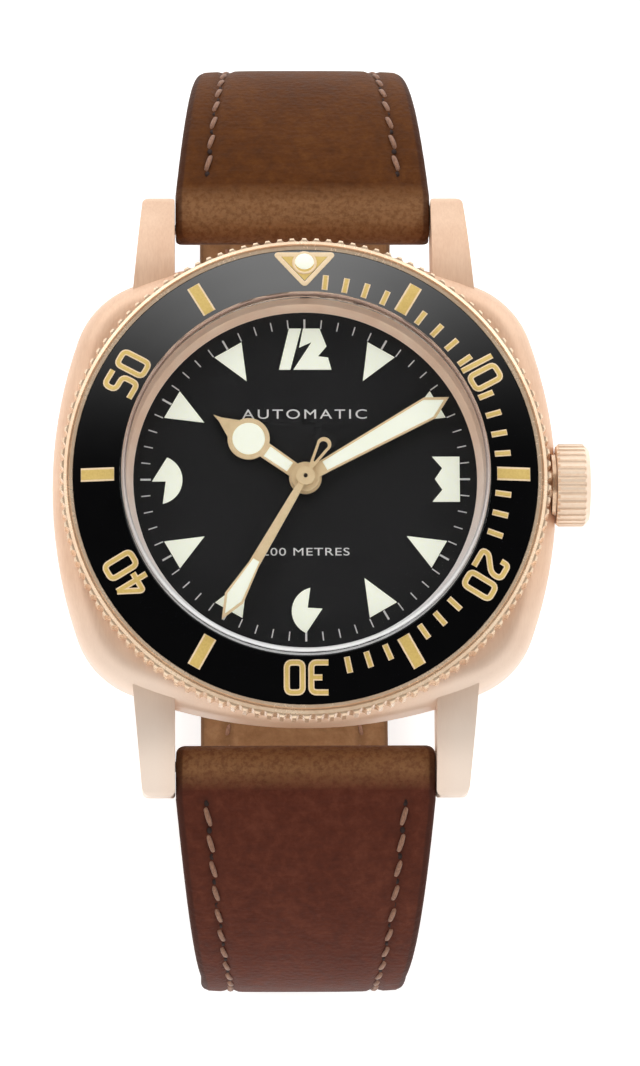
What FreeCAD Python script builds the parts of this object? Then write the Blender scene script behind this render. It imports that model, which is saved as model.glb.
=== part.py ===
import FreeCAD, Part
import math
import os

# Automatic dive watch on a two-piece leather strap, dial up.
# Millimetres. Origin: centre of the case back's outer face.
# +Z leaves the dial, +Y is 12 o'clock, +X is the crown.

V = FreeCAD.Vector
os.makedirs("parts", exist_ok=True)

# ---------------------------------------------------------------- driving dimensions
CASE_HALF_X = 19.5
CASE_HALF_Y = 18.55
CASE_SIDE_R = 36.0
CASE_CORNER_R = 7.0
CASE_Z0 = 1.0
CASE_Z1 = 7.0
CASE_SHOULDER_R = 1.9
CASE_UNDERCUT = 2.2
CASE_BORE_R = 14.5
NECK_R = 15.3
NECK_TOP_Z = 9.3

LUG_GAP_HALF = 10.05
LUG_ROOT_X = 13.5
LUG_TIP_X = 12.6
LUG_TIP_Y = 23.8
LUG_INNER_R = 0.4
LUG_OUTER_R = 0.7
BAR_Y = 21.4
BAR_Z = 2.4
BAR_R = 0.75
BAR_TIP_R = 0.4
RUN_GAP = 0.05

BACK_R = 16.0
BACK_FLOOR_Z = 1.1
BACK_TOP_Z = 2.65
BACK_FLANGE_Z = 1.85
BACK_PLUG_R = 15.3

BEZEL_R = 18.85
BEZEL_Z0 = 7.1
BEZEL_Z1 = 9.45
BEZEL_TEETH = 124
BEZEL_TOOTH_DEPTH = 0.3
INSERT_R0 = 14.25
INSERT_R1 = 17.8
INSERT_Z_IN = 10.2
INSERT_Z_OUT = 9.6
INSERT_T = 0.6
PIP_R = 0.75
PIP_Y = 16.75

CRYSTAL_R = 14.1
CRYSTAL_Z0 = 8.9
CRYSTAL_EDGE_Z = 11.3
CRYSTAL_TOP_Z = 12.85

DIAL_R = 14.0
DIAL_Z0 = 7.6
DIAL_Z1 = 8.0
LUME_T = 0.12

CROWN_Z = 5.8
CROWN_R = 3.2
CROWN_X0 = 19.4
CROWN_X1 = 21.95
CROWN_BORE_R = 1.45
CROWN_BORE_X = 20.95
CROWN_SEAT_X = 19.05
CROWN_GROOVES = 32
STEM_R = 0.5
STEM_X0 = 6.2

MOVEMENT_R = 12.75
PLATE_WALL_R = 11.75
PLATE_Z0 = 6.25
PLATE_Z1 = 6.9
BRIDGE_Z0 = 3.25
BRIDGE_Z1 = 3.8
PIVOT_R = 0.1
JEWEL_R = 0.45

# plan positions of the movement's arbors
MODULE_CENTRE = 0.10
CENTRE_TEETH, THIRD_PINION_TEETH = 64, 8
THIRD_TEETH, SECONDS_PINION_TEETH = 60, 8
THIRD_GAP = MODULE_CENTRE * (CENTRE_TEETH + THIRD_PINION_TEETH) / 2
MODULE_THIRD = 2 * THIRD_GAP / (THIRD_TEETH + SECONDS_PINION_TEETH)
MODULE_ESCAPE = 0.08
FOURTH_TEETH, ESCAPE_PINION_TEETH = 84, 7
ESCAPE_GAP = MODULE_ESCAPE * (FOURTH_TEETH + ESCAPE_PINION_TEETH) / 2
BARREL_TEETH, CENTRE_PINION_TEETH = 78, 13
BARREL_GAP = 5.75
MODULE_BARREL = 2 * BARREL_GAP / (BARREL_TEETH + CENTRE_PINION_TEETH)
CANNON_TEETH, MINUTE_WHEEL_TEETH = 12, 36
MINUTE_PINION_TEETH, HOUR_TEETH = 10, 40
MODULE_CANNON = 0.09
MOTION_GAP = MODULE_CANNON * (CANNON_TEETH + MINUTE_WHEEL_TEETH) / 2
MODULE_HOUR = 2 * MOTION_GAP / (MINUTE_PINION_TEETH + HOUR_TEETH)


def polar(r, degrees, base=(0, 0)):
    a = math.radians(degrees)
    return (base[0] + r * math.cos(a), base[1] + r * math.sin(a))


CENTRE = (0.0, 0.0)
BARREL = polar(BARREL_GAP, 100)
THIRD = polar(THIRD_GAP, -50)
FOURTH = polar(THIRD_GAP, -150, THIRD)
ESCAPE = polar(ESCAPE_GAP, -175, FOURTH)
BALANCE = polar(8.0, 190)
BALANCE_R = 3.6
ESCAPE_R = 2.0
ESCAPE_TEETH = 20
PALLET_REACH = 2.3
PALLET_POST = 2.5
PALLET_LINE = math.degrees(math.atan2(BALANCE[1] - ESCAPE[1], BALANCE[0] - ESCAPE[0]))
PALLET = polar(PALLET_REACH, PALLET_LINE, ESCAPE)
CROWN_WHEEL = (5.0, 0.0)
MINUTE_WHEEL = polar(MOTION_GAP, 200)
ROTOR_PINION_R, REVERSER_R = 1.3, 1.5
ROTOR_PINION_TEETH, REVERSER_TEETH = 26, 30
REVERSER = polar(ROTOR_PINION_R + REVERSER_R, 205)
AUTO_Z0, AUTO_Z1 = 2.15, 2.5
AUTO_LEGS = [(9.2, 2.6), (-6.0, 2.95)]
LEVER_PIVOT = (9.05, 5.5)

HOUR_ANGLE = 305.3
MINUTE_ANGLE = 60.5
SECONDS_ANGLE = 210.0
HOUR_HAND_Z = 8.4
MINUTE_HAND_Z = 8.8
SECONDS_HAND_Z = 9.2

# strap: angle 0 leads away from the case, 90 points down, 180 leads back under it
STRAP_W0 = 20.0
STRAP_W1 = 16.2
STRAP_TAPER_FROM = 2.5
STRAP_TAPER_TO = 20.5
STRAP_T0 = 3.4
STRAP_T1 = 2.9
STRAP_T2 = 2.4
LINING_T = 0.8
SHORT_END, LONG_END = 1.15, 1.6
STRAP_BEND = ("arc", 14.2, 5.0, 90.0)
SHORT_PATH = [("line", 2.4, 5.0), STRAP_BEND, ("arc", 43.5, 90.0, 105.0), ("arc", 14.5, 105.0, 180.0),
              ("line", 19.4, 180.0)]
LONG_PATH = [("line", 1.12, 5.0), STRAP_BEND, ("arc", 43.5, 90.0, 108.0), ("line", 5.0, 108.0),
             ("arc", 24.0, 108.0, 180.0), ("line", 46.4, 180.0)]
ARC_STEP = 6.0
HOLE_R = 0.9
HOLE_PITCH = 5.0
HOLE_COUNT = 6
HOLE_FIRST = 20.0
TIP_LENGTH = 9.0
TIP_BLUNTNESS = 0.34
PAST_BUCKLE = 1.6

BUCKLE_ARM_IN = 8.35
BUCKLE_ARM_OUT = 10.2
BUCKLE_REACH = 8.6
BUCKLE_T = 1.9
KEEPER_W = 4.0
KEEPER_WALL = 0.9
KEEPER_ROOM = 2.7
KEEPER_HALF = 8.6
FIXED_KEEPER_AT = 2.8
FREE_KEEPER_AT = 9.6


# ---------------------------------------------------------------- helpers
def disc(r, z0, z1, at=(0, 0)):
    return Part.makeCylinder(r, z1 - z0, V(at[0], at[1], z0))


def ring(r_out, r_in, z0, z1, at=(0, 0)):
    return disc(r_out, z0, z1, at).cut(disc(r_in, z0 - 1, z1 + 1, at))


def rod_x(r, x0, x1, y=0.0, z=0.0):
    return Part.makeCylinder(r, x1 - x0, V(x0, y, z), V(1, 0, 0))


def box(x0, x1, y0, y1, z0, z1):
    return Part.makeBox(x1 - x0, y1 - y0, z1 - z0, V(x0, y0, z0))


def outline(points, make):
    """A closed wire. A point is a pair, or (middle, end) where an arc leads to it."""
    edges = []
    start = first = make(*points[0])
    for p in points[1:]:
        if isinstance(p[0], tuple):
            end = make(*p[1])
            edges.append(Part.Arc(start, make(*p[0]), end).toShape())
        else:
            end = make(*p)
            edges.append(Part.LineSegment(start, end).toShape())
        start = end
    if start.distanceToPoint(first) > 1e-6:
        edges.append(Part.LineSegment(start, first).toShape())
    return Part.Wire(edges)


def prism(points, z0, z1):
    face = Part.Face(outline(points, lambda x, y: V(x, y, z0)))
    return face.extrude(V(0, 0, z1 - z0))


def side_prism(points, x0, x1):
    face = Part.Face(outline(points, lambda y, z: V(x0, y, z)))
    return face.extrude(V(x1 - x0, 0, 0))


def turned(points, at=(0, 0)):
    face = Part.Face(outline(points, lambda r, z: V(r, 0, z)))
    return face.revolve(V(0, 0, 0), V(0, 0, 1), 360).translated(V(at[0], at[1], 0))


def spun(shape, degrees, at=(0, 0), axis=(0, 0, 1), z=0.0):
    copy = shape.copy()
    copy.rotate(V(at[0], at[1], z), V(*axis), degrees)
    return copy


def around(shape, count, at=(0, 0), phase=0.0):
    return [spun(shape, phase + 360.0 * i / count, at) for i in range(count)]


def join(*shapes):
    return shapes[0].fuse(list(shapes[1:])).removeSplitter() if len(shapes) > 1 else shapes[0]


def mirrored_y(shape):
    return shape.mirror(V(0, 0, 0), V(0, 1, 0))


def edges_at(shape, axis, value):
    """The edges that lie in the plane where the axis has that value."""
    low, high = axis + "Min", axis + "Max"
    return [e for e in shape.Edges
            if abs(getattr(e.BoundBox, low) - value) < 1e-3 and abs(getattr(e.BoundBox, high) - value) < 1e-3]


def save(name, shape):
    assert shape.isValid(), name
    assert all(s.isClosed() and s.Volume > 0 for s in shape.Solids), name
    shape.exportStep(os.path.join("parts", name + ".step"))
    print(f"{name:24s} solids {len(shape.Solids):3d}  volume {sum(s.Volume for s in shape.Solids):9.3f}")


# ---------------------------------------------------------------- gears
def toothed(module, teeth, z0, z1, at=(0, 0), phase=0.0):
    """A spur gear blank with straight-flanked teeth, one tooth centred on phase."""
    pitch = 360.0 / teeth
    r = module * teeth / 2
    root, tip = r - 1.15 * module, r + 0.85 * module
    points = []
    for i in range(teeth):
        a = phase + i * pitch
        for share, radius in ((-0.30, root), (-0.11, tip), (0.11, tip), (0.30, root)):
            points.append(polar(radius, a + share * pitch, at))
    return prism(points, z0, z1)


def mesh_phase(at, teeth, phase, other_at, other_teeth):
    """Phase of the second gear that puts its gaps on the first gear's teeth."""
    theta = math.degrees(math.atan2(other_at[1] - at[1], other_at[0] - at[0]))
    share = ((theta - phase) * teeth / 360.0) % 1.0
    return theta + 180.0 - ((0.5 - share) % 1.0) * 360.0 / other_teeth


def spokes(wheel, r_in, r_out, count, width, at, z0, z1, phase=0.0):
    """Opens windows between a wheel's hub and rim, and leaves count spokes."""
    window = ring(r_out, r_in, z0 - 1, z1 + 1, at)
    bars = [box(at[0], at[0] + r_out + 1, at[1] - width / 2, at[1] + width / 2, z0 - 2, z1 + 2)]
    bars = around(bars[0], count, at, phase)
    return wheel.cut(window.cut(bars))


def arbor(at, z0, z1, r=0.22, pivots=(0.3, 0.3)):
    """A shaft with a thin pivot at each end."""
    low, high = pivots
    return join(disc(r, z0, z1, at), disc(PIVOT_R, z0 - low, z0, at), disc(PIVOT_R, z1, z1 + high, at))


# ---------------------------------------------------------------- case
def cushion():
    """A block with flat arcs on its four sides, tight arcs at its corners and soft upper and lower edges."""
    hx, hy, big, small = CASE_HALF_X, CASE_HALF_Y, CASE_SIDE_R, CASE_CORNER_R
    side_c, end_c = (hx - big, 0.0), (0.0, hy - big)
    # the corner arc's centre is at big - small from both side centres
    d = big - small
    mx, my = (side_c[0] + end_c[0]) / 2, (side_c[1] + end_c[1]) / 2
    ex, ey = end_c[0] - side_c[0], end_c[1] - side_c[1]
    span = math.hypot(ex, ey)
    h = math.sqrt(d * d - span * span / 4)
    nx, ny = -ey / span, ex / span
    if nx < 0:
        nx, ny = -nx, -ny
    cx, cy = mx + nx * h, my + ny * h
    a_side = math.degrees(math.atan2(cy - side_c[1], cx - side_c[0]))
    a_end = math.degrees(math.atan2(cy - end_c[1], cx - end_c[0]))
    p_side = polar(big, a_side, side_c)
    p_end = polar(big, a_end, end_c)
    p_mid = polar(small, (a_side + a_end) / 2, (cx, cy))
    right, top = (hx, 0.0), (0.0, hy)

    def flip(p, sx, sy):
        return (p[0] * sx, p[1] * sy)

    points = [flip(p_side, 1, -1)]
    points.append((right, p_side))
    points.append((p_mid, p_end))
    points.append((top, flip(p_end, -1, 1)))
    points.append((flip(p_mid, -1, 1), flip(p_side, -1, 1)))
    points.append(((-hx, 0.0), flip(p_side, -1, -1)))
    points.append((flip(p_mid, -1, -1), flip(p_end, -1, -1)))
    points.append(((0.0, -hy), flip(p_end, 1, -1)))
    points.append((flip(p_mid, 1, -1), points[0]))
    body = prism(points, CASE_Z0, CASE_Z1)
    body = body.makeChamfer(CASE_UNDERCUT, edges_at(body, "Z", CASE_Z0))
    return body.makeFillet(CASE_SHOULDER_R, edges_at(body, "Z", CASE_Z1))


def lug():
    """One straight lug, at +X +Y: its plan outline crossed with its side outline."""
    tip, r_in, r_out = LUG_TIP_Y, LUG_INNER_R, LUG_OUTER_R
    c = 1 - math.sqrt(0.5)
    plan = prism([
        (LUG_GAP_HALF, 12.0), (LUG_ROOT_X + 0.1, 12.0), (LUG_TIP_X, tip - r_out),
        ((LUG_TIP_X - r_out * c, tip - r_out * c), (LUG_TIP_X - r_out, tip)), (LUG_GAP_HALF + r_in, tip),
        ((LUG_GAP_HALF + r_in * c, tip - r_in * c), (LUG_GAP_HALF, tip - r_in))], 0.0, 8.0)
    side = side_prism([
        (12.0, 1.3), (12.0, 6.4), (16.2, 6.25), ((20.5, 5.4), (tip - 0.55, 3.8)),
        ((tip, 3.0), (tip - 0.05, 2.0)), ((tip - 0.35, 1.1), (tip - 1.15, 0.8)), (19.5, 0.8)], 9.0, 15.0)
    return plan.common(side)


def case_body():
    body = cushion()
    lugs = [lug()]
    lugs.append(lugs[0].mirror(V(0, 0, 0), V(1, 0, 0)))
    lugs += [mirrored_y(s) for s in lugs]
    neck = disc(NECK_R, CASE_Z1 - 0.5, NECK_TOP_Z)
    body = body.fuse(lugs + [neck])
    cuts = [
        disc(CASE_BORE_R, CASE_Z0 - 1, NECK_TOP_Z + 1),
        disc(BACK_R + 0.1, CASE_Z0 - 1, BACK_FLANGE_Z),
        disc(BACK_PLUG_R, 0, BACK_TOP_Z + 0.1),
        ring(BACK_R - 0.1, BACK_PLUG_R - 0.1, BACK_FLANGE_Z - 0.1, BACK_FLANGE_Z + 0.5),
        ring(17.0, 15.5, CASE_Z1 - 0.2, CASE_Z1 + 0.5),
        rod_x(1.25, 14.0, 21.0, 0, CROWN_Z),
        rod_x(2.45, CROWN_SEAT_X - 0.05, 22.0, 0, CROWN_Z),
        rod_x(CROWN_R + 0.15, CROWN_X0 - 0.08, 22.0, 0, CROWN_Z),
    ]
    for sx in (1, -1):
        for sy in (1, -1):
            x0, x1 = sorted((sx * (LUG_GAP_HALF - 0.5), sx * 11.5))
            cuts.append(rod_x(BAR_TIP_R, x0, x1, sy * BAR_Y, BAR_Z))
    # the gap between the lugs stays clear for the strap's end
    for sy in (1, -1):
        y0, y1 = sorted((sy * 19.2, sy * 24.0))
        cuts.append(box(-LUG_GAP_HALF, LUG_GAP_HALF, y0, y1, 0, 8))
    save("case_body", body.cut(cuts))


def spring_bars():
    bars = []
    for sy in (1, -1):
        core = rod_x(BAR_R, -9.7, 9.7, sy * BAR_Y, BAR_Z)
        collars = [rod_x(BAR_R * 0.8, x, x + 0.3, sy * BAR_Y, BAR_Z) for x in (-10.0, 9.7)]
        tips = [rod_x(BAR_TIP_R, x, x + 1.3, sy * BAR_Y, BAR_Z) for x in (-11.3, 10.0)]
        bars.append(join(core, *collars, *tips))
    save("spring_bars", Part.makeCompound(bars))


def case_back():
    plug_r, hollow_r = BACK_PLUG_R - 0.02, CASE_BORE_R - 0.2
    plate = turned([
        (0, 0), (BACK_R - 1.6, 0), (BACK_R - 0.6, 0.25), (BACK_R, 0.85), (BACK_R, BACK_FLANGE_Z),
        (plug_r, BACK_FLANGE_Z), (plug_r, BACK_TOP_Z), (hollow_r, BACK_TOP_Z), (hollow_r, BACK_FLOOR_Z),
        (0, BACK_FLOOR_Z)])
    notch = box(BACK_R - 1.9, BACK_R + 1, -1.3, 1.3, -1, 0.7)
    grooves = [ring(12.2, 12.0, -1, 0.08), ring(9.4, 9.2, -1, 0.08)]
    save("case_back", plate.cut(around(notch, 6, phase=30) + grooves))
    gasket = ring(BACK_R - 0.15, BACK_PLUG_R + 0.02, BACK_FLANGE_Z + 0.02, BACK_FLANGE_Z + 0.45)
    save("case_back_gasket", gasket)


# ---------------------------------------------------------------- bezel and crystal
def scalloped(r, count, depth, z0, z1):
    """A disc whose edge is a row of round hollows with narrow lands between them."""
    step = 360.0 / count
    land = step * 0.16
    points = [polar(r, -land)]
    for i in range(count):
        a = i * step
        points.append((polar(r, a), polar(r, a + land)))
        points.append((polar(r - depth, a + step / 2), polar(r, a + step - land)))
    return prism(points, z0, z1)


def insert_z(r):
    return INSERT_Z_IN + (r - INSERT_R0) * (INSERT_Z_OUT - INSERT_Z_IN) / (INSERT_R1 - INSERT_R0)


def bezel():
    inner = NECK_R + RUN_GAP
    lip_r = INSERT_R1 + 0.05
    envelope = turned([
        (inner, BEZEL_Z0), (BEZEL_R - 0.45, BEZEL_Z0), (BEZEL_R, BEZEL_Z0 + 0.45), (BEZEL_R, BEZEL_Z1 - 0.15),
        (BEZEL_R - 0.15, BEZEL_Z1), (lip_r + 0.46, BEZEL_Z1 + 0.15), (lip_r + 0.4, BEZEL_Z1),
        (lip_r + 0.3, BEZEL_Z1), (lip_r + 0.24, BEZEL_Z1 + 0.18), (lip_r, insert_z(INSERT_R1) + 0.02),
        (lip_r, insert_z(lip_r) - INSERT_T), (inner, insert_z(inner) - INSERT_T)])
    core = disc(BEZEL_R - BEZEL_TOOTH_DEPTH - 0.01, BEZEL_Z0 - 1, 12.0)
    band = scalloped(BEZEL_R, BEZEL_TEETH, BEZEL_TOOTH_DEPTH, BEZEL_Z0 + 0.3, BEZEL_Z1)
    save("bezel_ring", envelope.common(core.fuse(band)))
    insert = turned([
        (INSERT_R0, INSERT_Z_IN), (INSERT_R0, INSERT_Z_IN - INSERT_T), (INSERT_R1, INSERT_Z_OUT - INSERT_T),
        (INSERT_R1, INSERT_Z_OUT)])
    save("bezel_insert", insert.cut(disc(PIP_R, 9.4, 12.0, (0, PIP_Y))))
    z_pip = insert_z(PIP_Y)
    pip = disc(PIP_R, 9.4, z_pip + 0.02, (0, PIP_Y))
    dome = Part.makeSphere(1.6, V(0, PIP_Y, z_pip - 1.4)).common(disc(PIP_R, z_pip - 0.1, 12, (0, PIP_Y)))
    save("bezel_pip", join(pip, dome))
    spring = ring(16.8, 15.7, CASE_Z1 - 0.2, CASE_Z1 + 0.03)
    save("bezel_click_spring", spring.cut(box(10, 20, -1.5, 1.5, 0, 10)))


def on_cap(r, edge_r, top_z, edge_z):
    """The point at radius r of a spherical cap centred on the axis."""
    drop = top_z - edge_z
    ball_r = (edge_r ** 2 + drop ** 2) / (2 * drop)
    return (r, top_z - ball_r + math.sqrt(ball_r ** 2 - r ** 2))


def crystal():
    dome_mid = on_cap(7.2, 13.45, CRYSTAL_TOP_Z, 11.72)
    under_mid = on_cap(7.2, 13.7, 10.2, 9.75)
    save("crystal", turned([
        (0, 10.2), (0, CRYSTAL_TOP_Z), (dome_mid, (13.45, 11.72)), (13.85, 11.62),
        (CRYSTAL_R, CRYSTAL_EDGE_Z), (CRYSTAL_R, CRYSTAL_Z0), (13.7, CRYSTAL_Z0), (13.7, 9.75),
        (under_mid, (0, 10.2))]))
    save("crystal_gasket", ring(CASE_BORE_R, CRYSTAL_R, CRYSTAL_Z0, NECK_TOP_Z))
    save("rehaut_ring", turned([
        (13.2, DIAL_Z1), (13.65, CRYSTAL_Z0 - 0.05), (CASE_BORE_R - 0.05, CRYSTAL_Z0 - 0.05),
        (CASE_BORE_R - 0.05, DIAL_Z1)]))


# ---------------------------------------------------------------- dial
def dial():
    plate = disc(DIAL_R, DIAL_Z0, DIAL_Z1).cut(disc(1.0, DIAL_Z0 - 1, DIAL_Z1 + 1))
    feet = [disc(0.35, PLATE_Z1, DIAL_Z0, polar(11.6, a)) for a in (75, 255)]
    save("dial", join(plate, *feet))
    triangle = prism([(-1.2, 11.8), (0, 8.95), (1.2, 11.8)], DIAL_Z1, DIAL_Z1 + LUME_T)
    hours = [spun(triangle, -30 * h) for h in (1, 2, 4, 5, 7, 8, 10, 11)]
    numerals = [
        [(-1.20, 11.9), (-1.98, 8.65), (-1.10, 8.65), (-0.26, 11.9)],
        [(-0.12, 11.9), (-0.42, 10.4), (0.56, 10.85), (-0.86, 8.65), (2.06, 8.65), (1.80, 9.6), (1.02, 9.7),
         (1.69, 10.5), (1.15, 11.9)],
        [(9.75, 1.75), (10.52, 0.86), (9.95, 0), (10.52, -0.84), (9.75, -1.78), (11.85, -1.78),
         (11.85, 1.75)],
        [(0.33, -8.5), ((-1.05, -9.9), (0, -12.0)), (1.24, -10.12), (0.12, -10.05)],
        [(-10.6, 1.72), (-11.75, -0.15), (-10.7, -0.15), (-10.93, -1.9), ((-9.42, -0.06), (-10.6, 1.72))],
    ]
    figures = [prism(p, DIAL_Z1, DIAL_Z1 + LUME_T) for p in numerals]
    save("dial_markers", Part.makeCompound(hours + figures))


# ---------------------------------------------------------------- hands, drawn pointing to 12 and then turned
def hour_hand():
    z0, z1 = HOUR_HAND_Z, HOUR_HAND_Z + 0.22
    ball_r, ball_y = 1.62, 5.32
    arm = prism([(-0.55, 0), (-0.62, 4.2), (0.62, 4.2), (0.55, 0)], z0, z1)
    spike = prism([(-0.85, 6.6), (-0.16, 8.0), (0, 8.6), (0.16, 8.0), (0.85, 6.6)], z0, z1)
    blade = join(disc(1.25, z0, z1), arm, disc(ball_r, z0, z1, (0, ball_y)), spike)
    windows = [
        disc(1.25, z0 - 1, z1 + 1, (0, ball_y)),
        prism([(-0.41, 1.45), (-0.46, 3.6), (0.46, 3.6), (0.41, 1.45)], z0 - 1, z1 + 1),
        disc(0.9, z0 - 1, z1 + 1)]
    save("hour_hand", spun(blade.cut(windows), -HOUR_ANGLE))


def minute_hand():
    z0, z1 = MINUTE_HAND_Z, MINUTE_HAND_Z + 0.2
    edge = [(-0.5, 0), (-0.55, 2.0), (-0.92, 11.0), (0, 12.7), (0.92, 11.0), (0.55, 2.0), (0.5, 0)]
    window = [(-0.38, 1.7), (-0.76, 10.9), (0, 12.25), (0.76, 10.9), (0.38, 1.7)]
    blade = join(disc(1.12, z0, z1), prism(edge, z0, z1))
    blade = blade.cut([prism(window, z0 - 1, z1 + 1), disc(0.55, z0 - 1, z1 + 1)])
    save("minute_hand", spun(blade, -MINUTE_ANGLE))


def seconds_hand():
    z0, z1 = SECONDS_HAND_Z, SECONDS_HAND_Z + 0.16
    blade = prism([(-0.2, 0), (-0.3, 1.8), (-0.42, 8.0), (-0.8, 11.0), (0, 12.9), (0.8, 11.0), (0.42, 8.0),
                   (0.3, 1.8), (0.2, 0)], z0, z1)
    window = [(-0.26, 7.6), (-0.62, 10.95), (0, 12.4), (0.62, 10.95), (0.26, 7.6)]
    loop = prism([(-0.14, -0.6), (-0.5, -2.6), ((0, -3.4), (0.5, -2.6)), (0.14, -0.6)], z0, z1)
    hole = prism([(-0.06, -1.3), (-0.3, -2.6), ((0, -3.1), (0.3, -2.6)), (0.06, -1.3)], z0 - 1, z1 + 1)
    blade = join(disc(0.72, z0, z1 + 0.08), blade, loop.cut(hole))
    blade = blade.cut([prism(window, z0 - 1, z1 + 1), disc(0.12, z0 - 1, z1 - 0.02)])
    save("seconds_hand", spun(blade, -SECONDS_ANGLE))


# ---------------------------------------------------------------- crown and keyless works
def crown():
    z = CROWN_Z
    body = rod_x(CROWN_R, CROWN_X0, CROWN_X1, 0, z)
    body = body.makeChamfer(0.45, edges_at(body, "X", CROWN_X1))
    body = body.makeChamfer(0.2, edges_at(body, "X", CROWN_X0))
    groove = rod_x(0.21, CROWN_X0 - 1, CROWN_X1 - 0.35, 0, z + CROWN_R + 0.02)
    grooves = [spun(groove, 360.0 * i / CROWN_GROOVES, axis=(1, 0, 0), z=z) for i in range(CROWN_GROOVES)]
    bore = rod_x(CROWN_BORE_R, CROWN_X0 - 1, CROWN_BORE_X, 0, z)
    save("crown", body.cut(grooves + [bore, rod_x(STEM_R, 19, 21.2, 0, z)]))
    gasket = rod_x(CROWN_BORE_R, 20.15, 20.6, 0, z).cut(rod_x(1.12, 19, 22, 0, z))
    save("crown_gasket", gasket)
    pressed = rod_x(1.25, 14.6, CROWN_SEAT_X + 0.1, 0, z)
    flange = rod_x(2.4, CROWN_SEAT_X, CROWN_X0 - 0.05, 0, z)
    nose = rod_x(1.1, CROWN_SEAT_X + 0.2, 20.7, 0, z)
    save("crown_tube", join(pressed, flange, nose).cut(rod_x(STEM_R + 0.06, 10, 25, 0, z)))
    stem = rod_x(STEM_R, STEM_X0, 21.15, 0, z)
    neck = rod_x(1.0, 8.7, 9.4, 0, z).cut(rod_x(0.25, 8, 10, 0, z))
    save("winding_stem", stem.cut(neck))


def radial_teeth(r, length, count, x0):
    """A pinion on the stem: straight teeth along X."""
    blank = rod_x(r, x0, x0 + length, 0, CROWN_Z)
    cut = box(x0 - 1, x0 + length + 1, -0.12, 0.12, CROWN_Z + r - 0.28, CROWN_Z + r + 1)
    cuts = [spun(cut, 360.0 * i / count, axis=(1, 0, 0), z=CROWN_Z) for i in range(count)]
    return blank.cut(cuts + [rod_x(STEM_R + 0.02, 0, 20, 0, CROWN_Z)])


def keyless():
    save("winding_pinion", radial_teeth(1.42, 0.6, 16, 7.0))
    save("sliding_pinion", join(radial_teeth(0.98, 0.5, 12, 8.05), radial_teeth(1.2, 0.35, 14, 7.7)))
    x, y = LEVER_PIVOT
    pin_y = 0.62
    arm = prism([(x - 0.5, y), (x - 0.28, pin_y - 0.3), (x + 0.28, pin_y - 0.3), (x + 0.5, y)], 6.97, 7.17)
    heel = disc(0.8, 6.97, 7.17, (x, y))
    pin = disc(0.2, 5.55, 7.05, (x, pin_y))
    pivot_hole = disc(0.45, 6, 8, (x, y))
    save("setting_lever", join(arm, heel, pin).cut(pivot_hole))


# ---------------------------------------------------------------- movement frame
def pivot_points():
    return [THIRD, FOURTH, ESCAPE]


def main_plate():
    plate = disc(MOVEMENT_R, PLATE_Z0, PLATE_Z1)
    wall = ring(MOVEMENT_R, PLATE_WALL_R, BRIDGE_Z1, PLATE_Z0)
    plate = join(plate, wall)
    cuts = [disc(0.4, 0, 9), box(STEM_X0 - 0.1, 11.2, -1.75, 1.75, 4.0, 7.5), rod_x(0.6, 10, 14, 0, CROWN_Z)]
    cuts += [disc(JEWEL_R, PLATE_Z0 - 1, PLATE_Z1 + 1, p) for p in pivot_points() + [PALLET, BALANCE]]
    cuts += [disc(1.05, PLATE_Z0 - 1, PLATE_Z1 + 1, BARREL)]
    cuts += [disc(0.3, 3, 5.0, p) for p in screw_points()]
    cuts += [disc(0.35, PLATE_Z1 - 0.4, PLATE_Z1 + 1, polar(11.6, a)) for a in (75, 255)]
    # minute wheel post stands on the plate
    post = disc(0.15, PLATE_Z1, 7.5, MINUTE_WHEEL)
    save("main_plate", join(plate.cut(cuts), post))


def screw_points():
    return [polar(12.2, a) for a in (20, 60, 140, 185, 196, 250, 320)]


def screw(at, head_r, shank_r, seat_z, end_z):
    """A slotted screw driven towards the dial, its head on seat_z."""
    body = join(disc(head_r, seat_z - 0.22, seat_z, at), disc(shank_r, seat_z - 0.1, end_z, at))
    return body.cut(box(at[0] - 1, at[0] + 1, at[1] - 0.07, at[1] + 0.07, seat_z - 1, seat_z - 0.12))


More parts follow.
